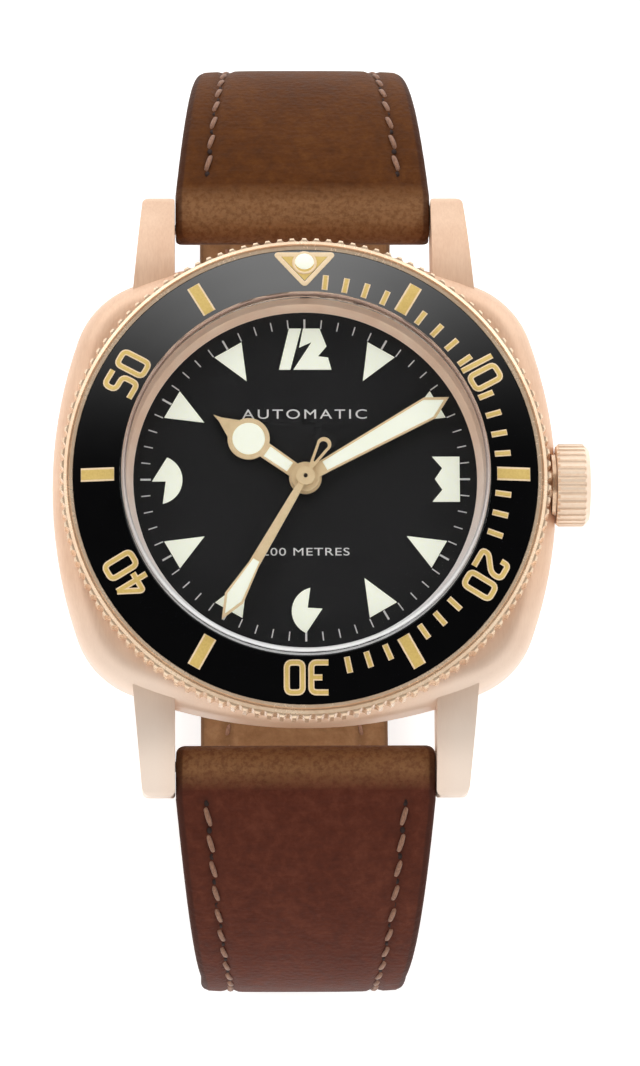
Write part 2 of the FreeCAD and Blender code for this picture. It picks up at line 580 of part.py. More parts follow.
def bridges():
    blank = disc(MOVEMENT_R - 0.05, BRIDGE_Z0, BRIDGE_Z1)
    barrel_side = prism([(-13, 3.2), (-2.1, 1.4), (1.8, 1.3), (3.5, -1.4), (13, -3.0), (13, 13), (-13, 13)],
                        BRIDGE_Z0, BRIDGE_Z1)
    train_side = prism([(-1.9, 1.0), (1.6, 0.9), (3.2, -1.8), (13, -3.4), (13, -13), (-9, -13), (-6.3, -5.8),
                        (-3.6, -3.1)], BRIDGE_Z0, BRIDGE_Z1)
    screws = [disc(0.3, 2, 5, p) for p in screw_points()]
    barrel_cuts = [disc(1.05, 2, 5, BARREL), disc(0.85, 2, 5, CROWN_WHEEL)]
    save("barrel_bridge", blank.common(barrel_side).cut(screws + barrel_cuts))
    jewels = [disc(JEWEL_R, 2, 5, p) for p in pivot_points() + [CENTRE]]
    save("train_bridge", blank.common(train_side).cut(screws + jewels))
    arm = box(-13, -7.0, -1.3, 1.3, BRIDGE_Z0, BRIDGE_Z1).fuse(disc(1.3, BRIDGE_Z0, BRIDGE_Z1, (-7.6, 0)))
    foot = disc(3.2, BRIDGE_Z0, BRIDGE_Z1, (-12.6, 0))
    cock = join(arm, foot)
    cock = spun(cock, 10).common(disc(MOVEMENT_R - 0.05, BRIDGE_Z0, BRIDGE_Z1))
    save("balance_cock", cock.cut(screws + [disc(JEWEL_R, 2, 5, BALANCE)]))
    across = PALLET_LINE + 90
    bar = spun(box(-PALLET_POST, PALLET_POST, -0.55, 0.55, 5.13, 5.28), across)
    bar = bar.translated(V(PALLET[0], PALLET[1], 0))
    ends = [polar(PALLET_POST, across, PALLET), polar(PALLET_POST, across + 180, PALLET)]
    posts = [disc(0.55, 5.13, PLATE_Z0, p) for p in ends]
    save("pallet_bridge", join(bar, *posts).cut(disc(PIVOT_R + 0.02, 5, 6, PALLET)))
    screws = [screw(p, 0.5, 0.3, BRIDGE_Z0, 4.9) for p in screw_points()]
    screws += [screw(p, 0.6, 0.35, AUTO_Z0, 2.95) for p in AUTO_LEGS]
    lever_screw = join(disc(0.4, PLATE_Z1, 7.22, LEVER_PIVOT), disc(0.7, 7.22, 7.42, LEVER_PIVOT))
    save("movement_screws", Part.makeCompound(screws + [lever_screw]))
    plate_jewels = [ring(JEWEL_R, PIVOT_R + 0.02, PLATE_Z0 + 0.05, PLATE_Z0 + 0.4, p)
                    for p in pivot_points() + [PALLET, BALANCE]]
    bridge_jewels = [ring(JEWEL_R, PIVOT_R + 0.02, BRIDGE_Z0 + 0.15, BRIDGE_Z1 - 0.05, p)
                     for p in pivot_points() + [CENTRE, BALANCE]]
    save("jewels", Part.makeCompound(plate_jewels + bridge_jewels))


def movement_ring():
    body = ring(CASE_BORE_R - 0.1, MOVEMENT_R + 0.02, BACK_TOP_Z + 0.1, DIAL_Z0 - 0.02)
    save("movement_ring", body.cut(rod_x(0.75, 10, 16, 0, CROWN_Z)))


# ---------------------------------------------------------------- power and going train
def barrel():
    r = MODULE_BARREL * BARREL_TEETH / 2
    drum = disc(r - 0.25, 3.95, 5.5, BARREL)
    teeth = toothed(MODULE_BARREL, BARREL_TEETH, 5.22, 5.45, BARREL, 0.0)
    hollow = disc(r - 0.6, 4.15, 5.15, BARREL)
    body = join(drum, teeth).cut([hollow, disc(0.8, 3, 7, BARREL)])
    save("barrel", body)
    stem = disc(0.75, BRIDGE_Z0 - 0.4, PLATE_Z0, BARREL)
    save("barrel_arbor", join(stem, disc(1.0, 4.2, 5.1, BARREL), disc(0.5, PLATE_Z0, 6.6, BARREL)))
    save("mainspring", coil(BARREL, 1.02, r - 0.75, 9, 0.12, 4.25, 5.05))


def coil(at, r0, r1, turns, width, z0, z1, steps=24):
    """A flat ribbon wound in a spiral, as short straight lengths."""
    inner, outer = [], []
    total = turns * steps
    for i in range(total + 1):
        r = r0 + (r1 - r0) * i / total
        a = 360.0 * i / steps
        inner.append(polar(r, a, at))
        outer.append(polar(r + width, a, at))
    return prism(inner + outer[::-1], z0, z1)


def ratchet():
    d = math.hypot(BARREL[0] - CROWN_WHEEL[0], BARREL[1] - CROWN_WHEEL[1])
    teeth_ratchet, teeth_crown = 48, 40
    module = 2 * d / (teeth_ratchet + teeth_crown)
    z0, z1 = 2.9, 3.15
    wheel = toothed(module, teeth_ratchet, z0, z1, BARREL, 0.0).cut(disc(0.75, 2, 4, BARREL))
    save("ratchet_wheel", wheel)
    phase = mesh_phase(BARREL, teeth_ratchet, 0.0, CROWN_WHEEL, teeth_crown)
    upper = toothed(module, teeth_crown, z0, z1, CROWN_WHEEL, phase)
    lower = toothed(0.11, 40, 4.08, 4.33, CROWN_WHEEL, 0.0)
    hub = disc(0.8, z1 - 0.1, 4.2, CROWN_WHEEL)
    save("crown_wheel", join(upper, lower, hub))


def train():
    m1, m2 = MODULE_CENTRE, MODULE_THIRD
    wheel = toothed(m1, CENTRE_TEETH, 5.8, 6.0, CENTRE, 0.0)
    wheel = spokes(wheel, 0.9, 2.7, 5, 0.4, CENTRE, 5.8, 6.0)
    barrel_phase = mesh_phase(BARREL, BARREL_TEETH, 0.0, CENTRE, CENTRE_PINION_TEETH)
    pinion = toothed(MODULE_BARREL, CENTRE_PINION_TEETH, 5.2, 5.85, CENTRE, barrel_phase)
    pipe = disc(0.35, 5.2, 8.6)
    save("centre_wheel", join(wheel, pinion, pipe).cut(disc(0.17, 4, 10)))

    wheel = spokes(toothed(m2, THIRD_TEETH, 4.6, 4.8, THIRD, 0.0), 0.8, 2.65, 4, 0.4, THIRD, 4.6, 4.8)
    phase = mesh_phase(CENTRE, CENTRE_TEETH, 0.0, THIRD, THIRD_PINION_TEETH)
    pinion = toothed(m1, THIRD_PINION_TEETH, 5.74, 6.06, THIRD, phase)
    save("third_wheel", join(wheel, pinion, arbor(THIRD, 3.86, 6.19)))

    phase = mesh_phase(THIRD, THIRD_TEETH, 0.0, CENTRE, SECONDS_PINION_TEETH)
    pinion = toothed(m2, SECONDS_PINION_TEETH, 4.5, 4.95, CENTRE, phase)
    shaft = [disc(0.25, 3.86, 4.6), disc(0.12, 4.6, SECONDS_HAND_Z + 0.14), disc(PIVOT_R, 3.56, 3.86)]
    save("sweep_seconds_pinion", join(pinion, *shaft))

    wheel = toothed(MODULE_ESCAPE, FOURTH_TEETH, 4.2, 4.38, FOURTH, 0.0)
    wheel = spokes(wheel, 0.8, 2.85, 4, 0.35, FOURTH, 4.2, 4.38, 45)
    phase = mesh_phase(THIRD, THIRD_TEETH, 0.0, FOURTH, SECONDS_PINION_TEETH)
    pinion = toothed(m2, SECONDS_PINION_TEETH, 4.45, 4.95, FOURTH, phase)
    save("fourth_wheel", join(wheel, pinion, arbor(FOURTH, 3.86, 6.19)))

    phase = mesh_phase(FOURTH, FOURTH_TEETH, 0.0, ESCAPE, ESCAPE_PINION_TEETH)
    pinion = toothed(MODULE_ESCAPE, ESCAPE_PINION_TEETH, 4.1, 4.45, ESCAPE, phase)
    points = []
    for i in range(ESCAPE_TEETH):
        a = 360.0 * i / ESCAPE_TEETH
        points += [polar(r, a + turn, ESCAPE) for r, turn in
                   ((ESCAPE_R - 0.5, -4), (ESCAPE_R, 0), (ESCAPE_R - 0.1, 3), (ESCAPE_R - 0.5, 3))]
    wheel = spokes(prism(points, 5.35, 5.55), 0.6, 1.25, 4, 0.3, ESCAPE, 5.35, 5.55)
    save("escape_wheel", join(wheel, pinion, arbor(ESCAPE, 3.86, 6.19, 0.2)))


def escapement():
    """Pallet fork, drawn along +X from its pivot to the balance, then turned onto the line of centres."""
    z0, z1 = 5.36, 5.54
    lever = prism([(-0.3, 0.25), (-0.3, -0.25), (1.7, -0.14), (2.2, -0.38), (2.2, -0.2), (2.0, -0.12),
                   (2.0, 0.12), (2.2, 0.2), (2.2, 0.38), (1.7, 0.14)], z0, z1)
    arms = prism([(0.28, 0), (0.15, 1.3), (-0.75, 1.95), (-0.82, 1.72), (-0.15, 1.15), (-0.12, 0),
                  (-0.15, -1.15), (-0.82, -1.72), (-0.75, -1.95), (0.15, -1.3)], z0, z1)
    fork = join(lever, arms)
    fork.translate(V(PALLET[0], PALLET[1], 0))
    fork = spun(fork, PALLET_LINE, PALLET)
    save("pallet_fork", join(fork, disc(0.18, 5.31, 6.19, PALLET), disc(PIVOT_R, 5.14, 6.5, PALLET)))

    rim = ring(BALANCE_R, BALANCE_R - 0.42, 4.7, 5.08, BALANCE)
    x, y = BALANCE
    arm = box(x - BALANCE_R + 0.1, x + BALANCE_R - 0.1, y - 0.25, y + 0.25, 4.75, 4.95)
    arms = [arm, spun(arm, 90, BALANCE)]
    staff = arbor(BALANCE, 3.86, 6.19)
    hub = disc(0.7, 4.7, 5.08, BALANCE)
    roller = disc(0.36, 5.6, 5.9, BALANCE)
    save("balance_wheel", join(rim, *arms, staff, hub, roller))
    collet = ring(0.42, 0.22, 4.2, 4.45, BALANCE)
    save("hairspring", join(collet, coil(BALANCE, 0.4, 2.2, 11, 0.06, 4.25, 4.4)))


def motion_work():
    phase = mesh_phase(MINUTE_WHEEL, MINUTE_WHEEL_TEETH, 0.0, CENTRE, CANNON_TEETH)
    teeth = toothed(MODULE_CANNON, CANNON_TEETH, 6.95, 7.18, CENTRE, phase)
    save("cannon_pinion", join(teeth, disc(0.55, 7.0, 9.0)).cut(disc(0.35, 6, 8.6)).cut(disc(0.17, 6, 10)))
    wheel = toothed(MODULE_CANNON, MINUTE_WHEEL_TEETH, 6.96, 7.14, MINUTE_WHEEL, 0.0)
    pinion = toothed(MODULE_HOUR, MINUTE_PINION_TEETH, 7.1, 7.46, MINUTE_WHEEL, 0.0)
    save("minute_wheel", join(wheel, pinion).cut(disc(0.18, 6, 8, MINUTE_WHEEL)))
    phase = mesh_phase(MINUTE_WHEEL, MINUTE_PINION_TEETH, 0.0, CENTRE, HOUR_TEETH)
    wheel = toothed(MODULE_HOUR, HOUR_TEETH, 7.24, 7.42, CENTRE, phase)
    save("hour_wheel", join(wheel, disc(0.9, 7.24, 8.6)).cut(disc(0.6, 6, 10)))


# ---------------------------------------------------------------- automatic winding
def automatic():
    bar = prism([(-11, 3.9), (-11, -2.6), (11, -2.6), (11, 3.9)], AUTO_Z0, AUTO_Z1)
    bridge = disc(10.4, AUTO_Z0, AUTO_Z1).common(bar)
    bridge = join(bridge, *[disc(0.9, AUTO_Z0, BRIDGE_Z0, p) for p in AUTO_LEGS])
    save("automatic_bridge", bridge.cut([disc(0.8, 2, 3), disc(0.4, 2, 3, REVERSER)]
                                        + [disc(0.35, 2, 4, p) for p in AUTO_LEGS]))
    post = join(disc(0.8, 1.3, 2.5), disc(1.15, 1.18, 1.4))
    save("rotor_bearing", post.cut(box(-2, 2, -0.12, 0.12, 1.0, 1.28)))
    half = prism([(-13, -0.6), (13, -0.6), (13, -13), (-13, -13)], 1, 4)
    windows = ring(9.4, 6.2, 1, 2).common(box(-13, 13, -13, -2.6, 1, 4))
    spoke = box(-0.6, 0.6, -13, 0, 0, 4)
    windows = windows.cut([spoke, spun(spoke, 45), spun(spoke, -45)])
    web = disc(11.0, 1.45, 1.7).common(half).cut(windows)
    rim = ring(12.4, 10.7, 1.45, 2.75).common(half)
    hub = disc(2.0, 1.45, 1.75)
    pinion = toothed(0.1, ROTOR_PINION_TEETH, 1.7, 2.08, CENTRE, 0.0)
    save("rotor", join(web, rim, hub, pinion).cut([disc(0.85, 1, 3)]))
    phase = mesh_phase(CENTRE, ROTOR_PINION_TEETH, 0.0, REVERSER, REVERSER_TEETH)
    wheel = toothed(0.1, REVERSER_TEETH, 1.82, 2.08, REVERSER, phase)
    save("reversing_wheel", join(wheel, disc(0.35, 2.0, 2.8, REVERSER)))


# ---------------------------------------------------------------- strap
def path_at(path, s, side):
    """(y, z) of the strap's middle line at arc length s from the spring bar, and its leading angle."""
    y, z = BAR_Y, BAR_Z
    if s < 0:
        a = math.radians(path[0][2])
        return side * (y + s * math.cos(a)), z - s * math.sin(a), path[0][2]
    for kind, *rest in path:
        if kind == "line":
            length, angle = rest
            a = math.radians(angle)
            run = min(s, length)
            y, z = y + run * math.cos(a), z - run * math.sin(a)
        else:
            radius, a0, a1 = rest
            length = radius * math.radians(a1 - a0)
            run = min(s, length)
            angle = a0 + math.degrees(run / radius)
            b0, b1 = math.radians(a0), math.radians(angle)
            y, z = y + radius * (math.sin(b1) - math.sin(b0)), z - radius * (math.cos(b0) - math.cos(b1))
        s -= run
        if s <= 1e-9:
            break
    return side * y, z, angle


def path_length(path):
    return sum(p[1] if p[0] == "line" else p[1] * math.radians(p[3] - p[2]) for p in path)


def stations(path, back, extra=()):
    marks, s = [-back, 0.0], 0.0
    for kind, *rest in path:
        length = rest[0] if kind == "line" else rest[0] * math.radians(rest[2] - rest[1])
        count = 1 if kind == "line" else max(2, round((rest[2] - rest[1]) / ARC_STEP))
        marks += [s + length * (i + 1) / count for i in range(count)]
        s += length
    return sorted(set(round(m, 6) for m in marks + list(extra)))


def strap_width(s):
    share = (s - STRAP_TAPER_FROM) / (STRAP_TAPER_TO - STRAP_TAPER_FROM)
    return STRAP_W0 + (STRAP_W1 - STRAP_W0) * min(max(share, 0.0), 1.0)


def strap_thickness(s):
    if s < 8.0:
        return STRAP_T0 + (STRAP_T1 - STRAP_T0) * max(s, 0.0) / 8.0
    return STRAP_T1 + (STRAP_T2 - STRAP_T1) * min((s - 8.0) / 42.0, 1.0)


def band(path, side, marks, width, low, high):
    """A strap layer between two offsets from the middle line, from flat faces."""
    sections = []
    for s in marks:
        y, z, angle = path_at(path, s, side)
        a = math.radians(angle)
        ny, nz = side * math.sin(a), math.cos(a)
        w = width(s) / 2
        corners = [(w, high(s)), (-w, high(s)), (-w, low(s)), (w, low(s))]
        sections.append([V(x, y + o * ny, z + o * nz) for x, o in corners])

    def face(*points):
        return Part.Face(Part.makePolygon(list(points) + [points[0]]))

    faces = [face(*sections[0]), face(*sections[-1])]
    for p, q in zip(sections, sections[1:]):
        faces += [face(p[0], p[1], q[1], q[0]), face(p[2], p[3], q[3], q[2])]
        for i, j in ((1, 2), (3, 0)):
            faces += [face(p[i], p[j], q[j]), face(p[i], q[j], q[i])]
    shell = Part.Shell(faces)
    solid = Part.Solid(shell)
    if solid.Volume < 0:
        solid.reverse()
    return solid


def strap_half(name, path, side, back, width, extra, cuts):
    def outer_face(s):
        return strap_thickness(s) / 2

    def inner_face(s):
        return -strap_thickness(s) / 2

    def seam(s):
        return inner_face(s) + LINING_T

    marks = stations(path, back, extra)
    bore = rod_x(BAR_R + RUN_GAP, -12, 12, side * BAR_Y, BAR_Z)
    save(name + "_upper", band(path, side, marks, width, seam, outer_face).cut([bore] + cuts))
    save(name + "_lining", band(path, side, marks, width, inner_face, seam).cut(cuts))


def strap():
    length = path_length(LONG_PATH)
    end_y, end_z, _ = path_at(LONG_PATH, length, -1)
    tip_marks = [length - TIP_LENGTH * (1 - i / 6) for i in range(6)]

    def long_width(s):
        left = min(max(length - s, 0.0) / TIP_LENGTH, 1.0)
        return strap_width(s) * (TIP_BLUNTNESS + (1 - TIP_BLUNTNESS) * math.sqrt(1 - (1 - left) ** 2))

    places = [(0, end_y - HOLE_FIRST - HOLE_PITCH * i) for i in range(HOLE_COUNT)]
    holes = [disc(HOLE_R, end_z - 5, end_z + 5, at) for at in places]
    strap_half("strap_long", LONG_PATH, -1, LONG_END, long_width, tip_marks, holes)

    bar_s = path_length(SHORT_PATH)
    y, z, _ = path_at(SHORT_PATH, bar_s, 1)
    to_end = SHORT_PATH[:-1] + [("line", SHORT_PATH[-1][1] + PAST_BUCKLE, 180.0)]
    notch = box(-1.7, 1.7, y - 3, y + 2.4, z - 3, z + 3)
    bore = rod_x(BAR_R + RUN_GAP, -12, 12, y, z)
    strap_half("strap_short", to_end, 1, SHORT_END, strap_width, (bar_s - 3.0,), [notch, bore])
    buckle(y, z)
    keeper("fixed_keeper", y + FIXED_KEEPER_AT, z, 0.0)
    keeper("free_keeper", y + FREE_KEEPER_AT, z, 0.15)
    print("long half", round(length, 1), "underside", round(end_z - STRAP_T2 / 2, 4))
    print("short half", round(bar_s, 1), "buckle bar", round(y, 4), round(z, 4))


def buckle(y, z):
    t = BUCKLE_T / 2
    arms_in, arms_out, reach = BUCKLE_ARM_IN, BUCKLE_ARM_OUT, BUCKLE_REACH
    frame = box(-arms_out, arms_out, y - reach, y + 1.0, z - t, z + t)
    corners = [e for e in edges_at(frame, "Y", y - reach) if e.BoundBox.ZLength > t]
    frame = frame.makeFillet(2.2, corners)
    window = box(-arms_in, arms_in, y - reach + 2.0, y + 2.0, z - 3, z + 3)
    groove = box(-0.85, 0.85, y - reach - 0.1, y - reach + 2.1, z - t - 0.1, z - t + 0.45)
    tips = rod_x(BAR_TIP_R, -arms_out + 0.3, arms_out - 0.3, y, z)
    frame = frame.cut([window, groove])
    frame = frame.makeFillet(0.35, [e for e in edges_at(frame, "Z", z + t) if e.Length > 3])
    save("buckle_frame", frame.cut(tips))
    bar = rod_x(BAR_R, -arms_in + 0.1, arms_in - 0.1, y, z)
    save("buckle_bar", join(bar, rod_x(BAR_TIP_R, -arms_out + 0.5, arms_out - 0.5, y, z)))
    hub = rod_x(1.35, -1.3, 1.3, y, z).cut(rod_x(BAR_R + RUN_GAP, -3, 3, y, z))
    blade = side_prism([
        (y - 0.9, z - 0.85), (y - 0.9, z - 1.3), (y - 3.0, z - 1.7), (y - reach + 0.35, z - 1.25),
        (y - reach + 0.3, z - 0.68), (y - reach + 2.2, z - 0.68), (y - 3.0, z - 0.95)], -0.7, 0.7)
    save("buckle_tongue", join(hub, blade))


def keeper(name, y0, z, slack):
    """A leather loop round the strap, with room for the tail under it."""
    top = z + STRAP_T2 / 2 + slack
    low = z - STRAP_T2 / 2 - KEEPER_ROOM
    half, wall = KEEPER_HALF, KEEPER_WALL
    shell = box(-half - wall, half + wall, y0, y0 + KEEPER_W, low - wall, top + wall)
    shell = shell.makeFillet(0.8, [e for e in shell.Edges if e.BoundBox.YLength > KEEPER_W / 2])
    save(name, shell.cut(box(-half, half, y0 - 1, y0 + KEEPER_W + 1, low, top)))


case_body()
spring_bars()
case_back()
bezel()
crystal()
dial()
hour_hand()
minute_hand()
seconds_hand()
crown()
keyless()
main_plate()
bridges()
movement_ring()
barrel()
ratchet()
train()
escapement()
motion_work()
automatic()
strap()
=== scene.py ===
"""Looks of the dive watch: finishes, leather, stitching, printed marks, lume, light and camera."""

import math

import bmesh
import bpy
from mathutils import Matrix, Vector


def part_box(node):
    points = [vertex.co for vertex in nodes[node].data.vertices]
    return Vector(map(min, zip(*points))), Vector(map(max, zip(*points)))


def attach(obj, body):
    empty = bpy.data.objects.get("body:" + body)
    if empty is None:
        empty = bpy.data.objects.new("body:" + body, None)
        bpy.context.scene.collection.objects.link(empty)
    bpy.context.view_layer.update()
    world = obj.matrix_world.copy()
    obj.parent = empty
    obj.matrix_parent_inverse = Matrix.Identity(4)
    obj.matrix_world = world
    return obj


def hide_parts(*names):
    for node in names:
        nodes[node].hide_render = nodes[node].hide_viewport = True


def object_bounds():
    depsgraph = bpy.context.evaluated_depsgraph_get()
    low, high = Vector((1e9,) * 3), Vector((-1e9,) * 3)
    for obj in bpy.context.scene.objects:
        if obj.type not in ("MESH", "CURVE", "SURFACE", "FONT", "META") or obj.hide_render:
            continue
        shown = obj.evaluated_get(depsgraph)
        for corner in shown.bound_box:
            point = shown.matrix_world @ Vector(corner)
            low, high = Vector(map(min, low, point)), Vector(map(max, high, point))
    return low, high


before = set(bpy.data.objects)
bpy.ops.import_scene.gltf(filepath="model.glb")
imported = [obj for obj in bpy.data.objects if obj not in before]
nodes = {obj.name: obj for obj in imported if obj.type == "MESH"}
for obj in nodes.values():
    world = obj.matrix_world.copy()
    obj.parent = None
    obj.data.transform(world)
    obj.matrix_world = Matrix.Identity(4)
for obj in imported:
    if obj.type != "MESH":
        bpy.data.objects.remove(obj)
cad_low, cad_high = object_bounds()
scene = bpy.context.scene

MM = 0.001

# ---- sizes of the watch, in millimetres, as in its design ----
BAR_Y, BAR_Z = 21.4, 2.4
SHORT_END, LONG_END = 1.15, 1.6
BEND = ("arc", 14.2, 5, 90)
SHORT_PATH = [("line", 2.4, 5, 5), BEND, ("arc", 43.5, 90, 105), ("arc", 14.5, 105, 180),
              ("line", 19.4, 180, 180)]
LONG_PATH = [("line", 1.12, 5, 5), BEND, ("arc", 43.5, 90, 108), ("line", 5.0, 108, 108),
             ("arc", 24.0, 108, 180), ("line", 46.4, 180, 180)]
PAST_BUCKLE = 1.6
WIDTH_AT_LUGS, WIDTH_AT_BUCKLE, TAPER_FROM, TAPER_TO = 20.0, 16.2, 2.5, 20.5
LINING = 0.8
TIP = 9.0
HOLE_RADIUS, HOLE_PITCH, HOLES, HOLE_FIRST = 0.9, 5.0, 6, 20.0
NOTCH_HALF, NOTCH_BEFORE, NOTCH_AFTER = 1.7, 3.0, 2.4
STITCH_IN, STITCH_PITCH, STITCH_LENGTH, STITCH_THICK = 2.35, 1.95, 1.5, 0.2

DIAL_TOP = 8.0
TRACK_IN, TRACK_OUT = 11.95, 12.65
INSERT_IN, INSERT_OUT, INSERT_TOP, INSERT_LOW = 14.25, 17.8, 10.2, 9.6
PIP_R, PIP_Y = 0.75, 16.75
MARK_RISE = 0.05
NUMERAL_R, BAR_IN, BAR_OUT, TICK_IN, TICK_OUT = 15.8, 14.65, 17.2, 14.57, 15.8
LAST_TICK, HIDDEN_TICKS = 28, (19, 21)
TRIANGLE_HALF, TRIANGLE_IN, TRIANGLE_OUT = 2.2, 14.93, 17.45
HOUR_ANGLE, MINUTE_ANGLE, SECONDS_ANGLE = 305.3, 60.5, 210.0


def srgb(red, green, blue):
    """A colour given as 0 to 255 display values, in linear light."""
    return tuple((v / 255 / 12.92 if v <= 10 else ((v / 255 + 0.055) / 1.055) ** 2.4)
                 for v in (red, green, blue)) + (1.0,)


# ---- materials ----

def node(tree, kind, inputs=None, **settings):
    """Adds a shader node; an input is a value or the socket that feeds it."""
    made = tree.nodes.new("ShaderNode" + kind)
    for key, value in settings.items():
        setattr(made, key, value)
    for key, value in (inputs or {}).items():
        if isinstance(value, bpy.types.NodeSocket):
            tree.links.new(value, made.inputs[key])
        else:
            made.inputs[key].default_value = value
    return made


def new_material(name, constants):
    """A Principled material, its tree, and its shader."""
    made = bpy.data.materials.new(name)
    made.use_nodes = True
    shader = made.node_tree.nodes["Principled BSDF"]
    for key, value in constants.items():
        shader.inputs[key].default_value = value
    return made, made.node_tree, shader


def place(tree, scale=(1, 1, 1), centre=(0, 0, 0)):
    """Object coordinates in millimetres about a centre, stretched by scale."""
    spot = node(tree, "TexCoord").outputs["Object"]
    shifted = node(tree, "VectorMath", {0: spot, 1: [c * MM for c in centre]}, operation="SUBTRACT")
    return node(tree, "VectorMath", {0: shifted.outputs[0], 1: [s / MM for s in scale]},
                operation="MULTIPLY").outputs[0]


def noise(tree, where, scale, detail, roughness=0.55, distortion=0.0):
    """A noise pattern's value, from 0 to 1."""
    return node(tree, "TexNoise", {"Vector": where, "Scale": scale, "Detail": detail,
                                   "Roughness": roughness, "Distortion": distortion}).outputs["Fac"]


def ramp(tree, factor, stops):
    """A colour ramp through (position, colour) stops."""
    made = node(tree, "ValToRGB", {"Fac": factor})
    points = made.color_ramp.elements
    while len(points) < len(stops):
        points.new(0.5)
    for point, (position, colour) in zip(points, stops):
        point.position = position
        point.color = colour
    return made.outputs["Color"]


def spread(tree, factor, low, high, start=0.3, end=0.7):
    """Maps a factor from start-end to low-high."""
    return node(tree, "MapRange", {"Value": factor, "From Min": start, "From Max": end,
                                   "To Min": low, "To Max": high}).outputs["Result"]


def math_node(tree, operation, first, second=0.0, third=0.0):
    """The result of one sum; each term is a value or a socket."""
    made = node(tree, "Math", operation=operation)
    for index, value in enumerate((first, second, third)):
        if isinstance(value, bpy.types.NodeSocket):
            tree.links.new(value, made.inputs[index])
        else:
            made.inputs[index].default_value = value
    return made.outputs[0]


def blend(tree, share, first, second):
    """Goes from the first colour to the second as share goes from 0 to 1."""
    return node(tree, "Mix", {"Factor": share, 6: first, 7: second}, data_type="RGBA").outputs[2]


def axis(tree, where, index):
    """One coordinate of a position."""
    return node(tree, "SeparateXYZ", {"Vector": where}).outputs[index]


def emboss(tree, shader, height, strength, depth_mm, under=None):
    """Gives the shader a bump of that depth, on top of an earlier bump."""
    inputs = {"Height": height, "Strength": strength, "Distance": depth_mm * MM}
    if under is not None:
        inputs["Normal"] = under
    made = node(tree, "Bump", inputs)
    tree.links.new(made.outputs["Normal"], shader.inputs["Normal"])
    return made.outputs["Normal"]


def radius_of(tree, where):
    """Distance of a millimetre position from the vertical axis."""
    squares = [math_node(tree, "POWER", axis(tree, where, index), 2.0) for index in (0, 1)]
    return math_node(tree, "SQRT", math_node(tree, "ADD", *squares))


def metal(name, dark, light, roughness, grain, bump, metallic=1.0, pale=None):
    """Metal with its grain stretched along the axes that have a small scale; pale, if given, is a painted
    highlight, the lighter colour the lower lug ends are drawn in.
    """
    made, tree, shader = new_material(name, {"Metallic": metallic})
    lines = noise(tree, place(tree, grain), 1.0, 5.0, 0.6)
    clouds = noise(tree, place(tree, (0.22, 0.22, 0.22)), 1.0, 3.0)
    shade = math_node(tree, "MULTIPLY_ADD", lines, 0.45, math_node(tree, "MULTIPLY", clouds, 0.55))
    colour = ramp(tree, shade, [(0.3, dark), (0.7, light)])
    # Painted highlight: lighter towards the lower end and away from the middle, on the lower lugs.
    if pale is not None:
        beside = spread(tree, math_node(tree, "ABSOLUTE", axis(tree, place(tree), 0)), 0.0, 1.0, 5.0, 11.5)
        painted_highlight_share = spread(tree, axis(tree, place(tree), 1), 0.85, 0.0, -19.0, -7.0)
        colour = blend(tree, math_node(tree, "MULTIPLY", painted_highlight_share, beside), colour, pale)
    tree.links.new(colour, shader.inputs["Base Color"])
    tree.links.new(spread(tree, shade, roughness * 0.8, roughness * 1.25), shader.inputs["Roughness"])
    emboss(tree, shader, lines, bump, 0.012)
    return made


def turned_metal(name, dark, light, roughness, centre, metallic=1.0, painted_reflection=None, painted_glow=0.0):
    """Lathe-turned metal; the optional colour towards 6 o'clock is a painted reflection of white light, and the
    emission strength is painted light that replaces light lost in the crystal.
    """
    made, tree, shader = new_material(name, {"Metallic": metallic, "Emission Strength": painted_glow})
    where = place(tree, (1, 1, 1), centre)
    radius = radius_of(tree, where)
    circle = node(tree, "CombineXYZ", {0: math_node(tree, "MULTIPLY", radius, 7.0)})
    lines = noise(tree, circle.outputs[0], 1.0, 6.0, 0.65)
    clouds = noise(tree, place(tree, (0.6, 0.6, 0.6)), 1.0, 3.0)
    shade = math_node(tree, "MULTIPLY_ADD", lines, 0.6, math_node(tree, "MULTIPLY", clouds, 0.4))
    colour = ramp(tree, shade, [(0.3, dark), (0.7, light)])
    # Painted reflection: the metal turns near white towards 6 o'clock, where it mirrors white light.
    if painted_reflection is not None:
        colour = blend(tree, spread(tree, axis(tree, where, 1), 1.0, 0.0, -11.0, 4.0), colour, painted_reflection)
    tree.links.new(colour, shader.inputs["Base Color"])
    tree.links.new(colour, shader.inputs["Emission Color"])
    tree.links.new(spread(tree, shade, roughness * 0.75, roughness * 1.25), shader.inputs["Roughness"])
    emboss(tree, shader, lines, 0.35, 0.01)
    return made


def striped_metal(name, dark, light, pitch):
    """Bridge metal with broad parallel decorative stripes."""
    made, tree, shader = new_material(name, {"Metallic": 1.0})
    saw = math_node(tree, "FRACT", math_node(tree, "MULTIPLY", axis(tree, place(tree), 0), 1 / pitch))
    hair = noise(tree, place(tree, (0.8, 14, 14)), 1.0, 4.0)
    shade = math_node(tree, "MULTIPLY_ADD", hair, 0.3, math_node(tree, "MULTIPLY", saw, 0.7))
    tree.links.new(ramp(tree, shade, [(0.1, dark), (0.9, light)]), shader.inputs["Base Color"])
    tree.links.new(spread(tree, hair, 0.2, 0.34), shader.inputs["Roughness"])
    emboss(tree, shader, math_node(tree, "ADD", saw, hair), 0.5, 0.02)
    return made


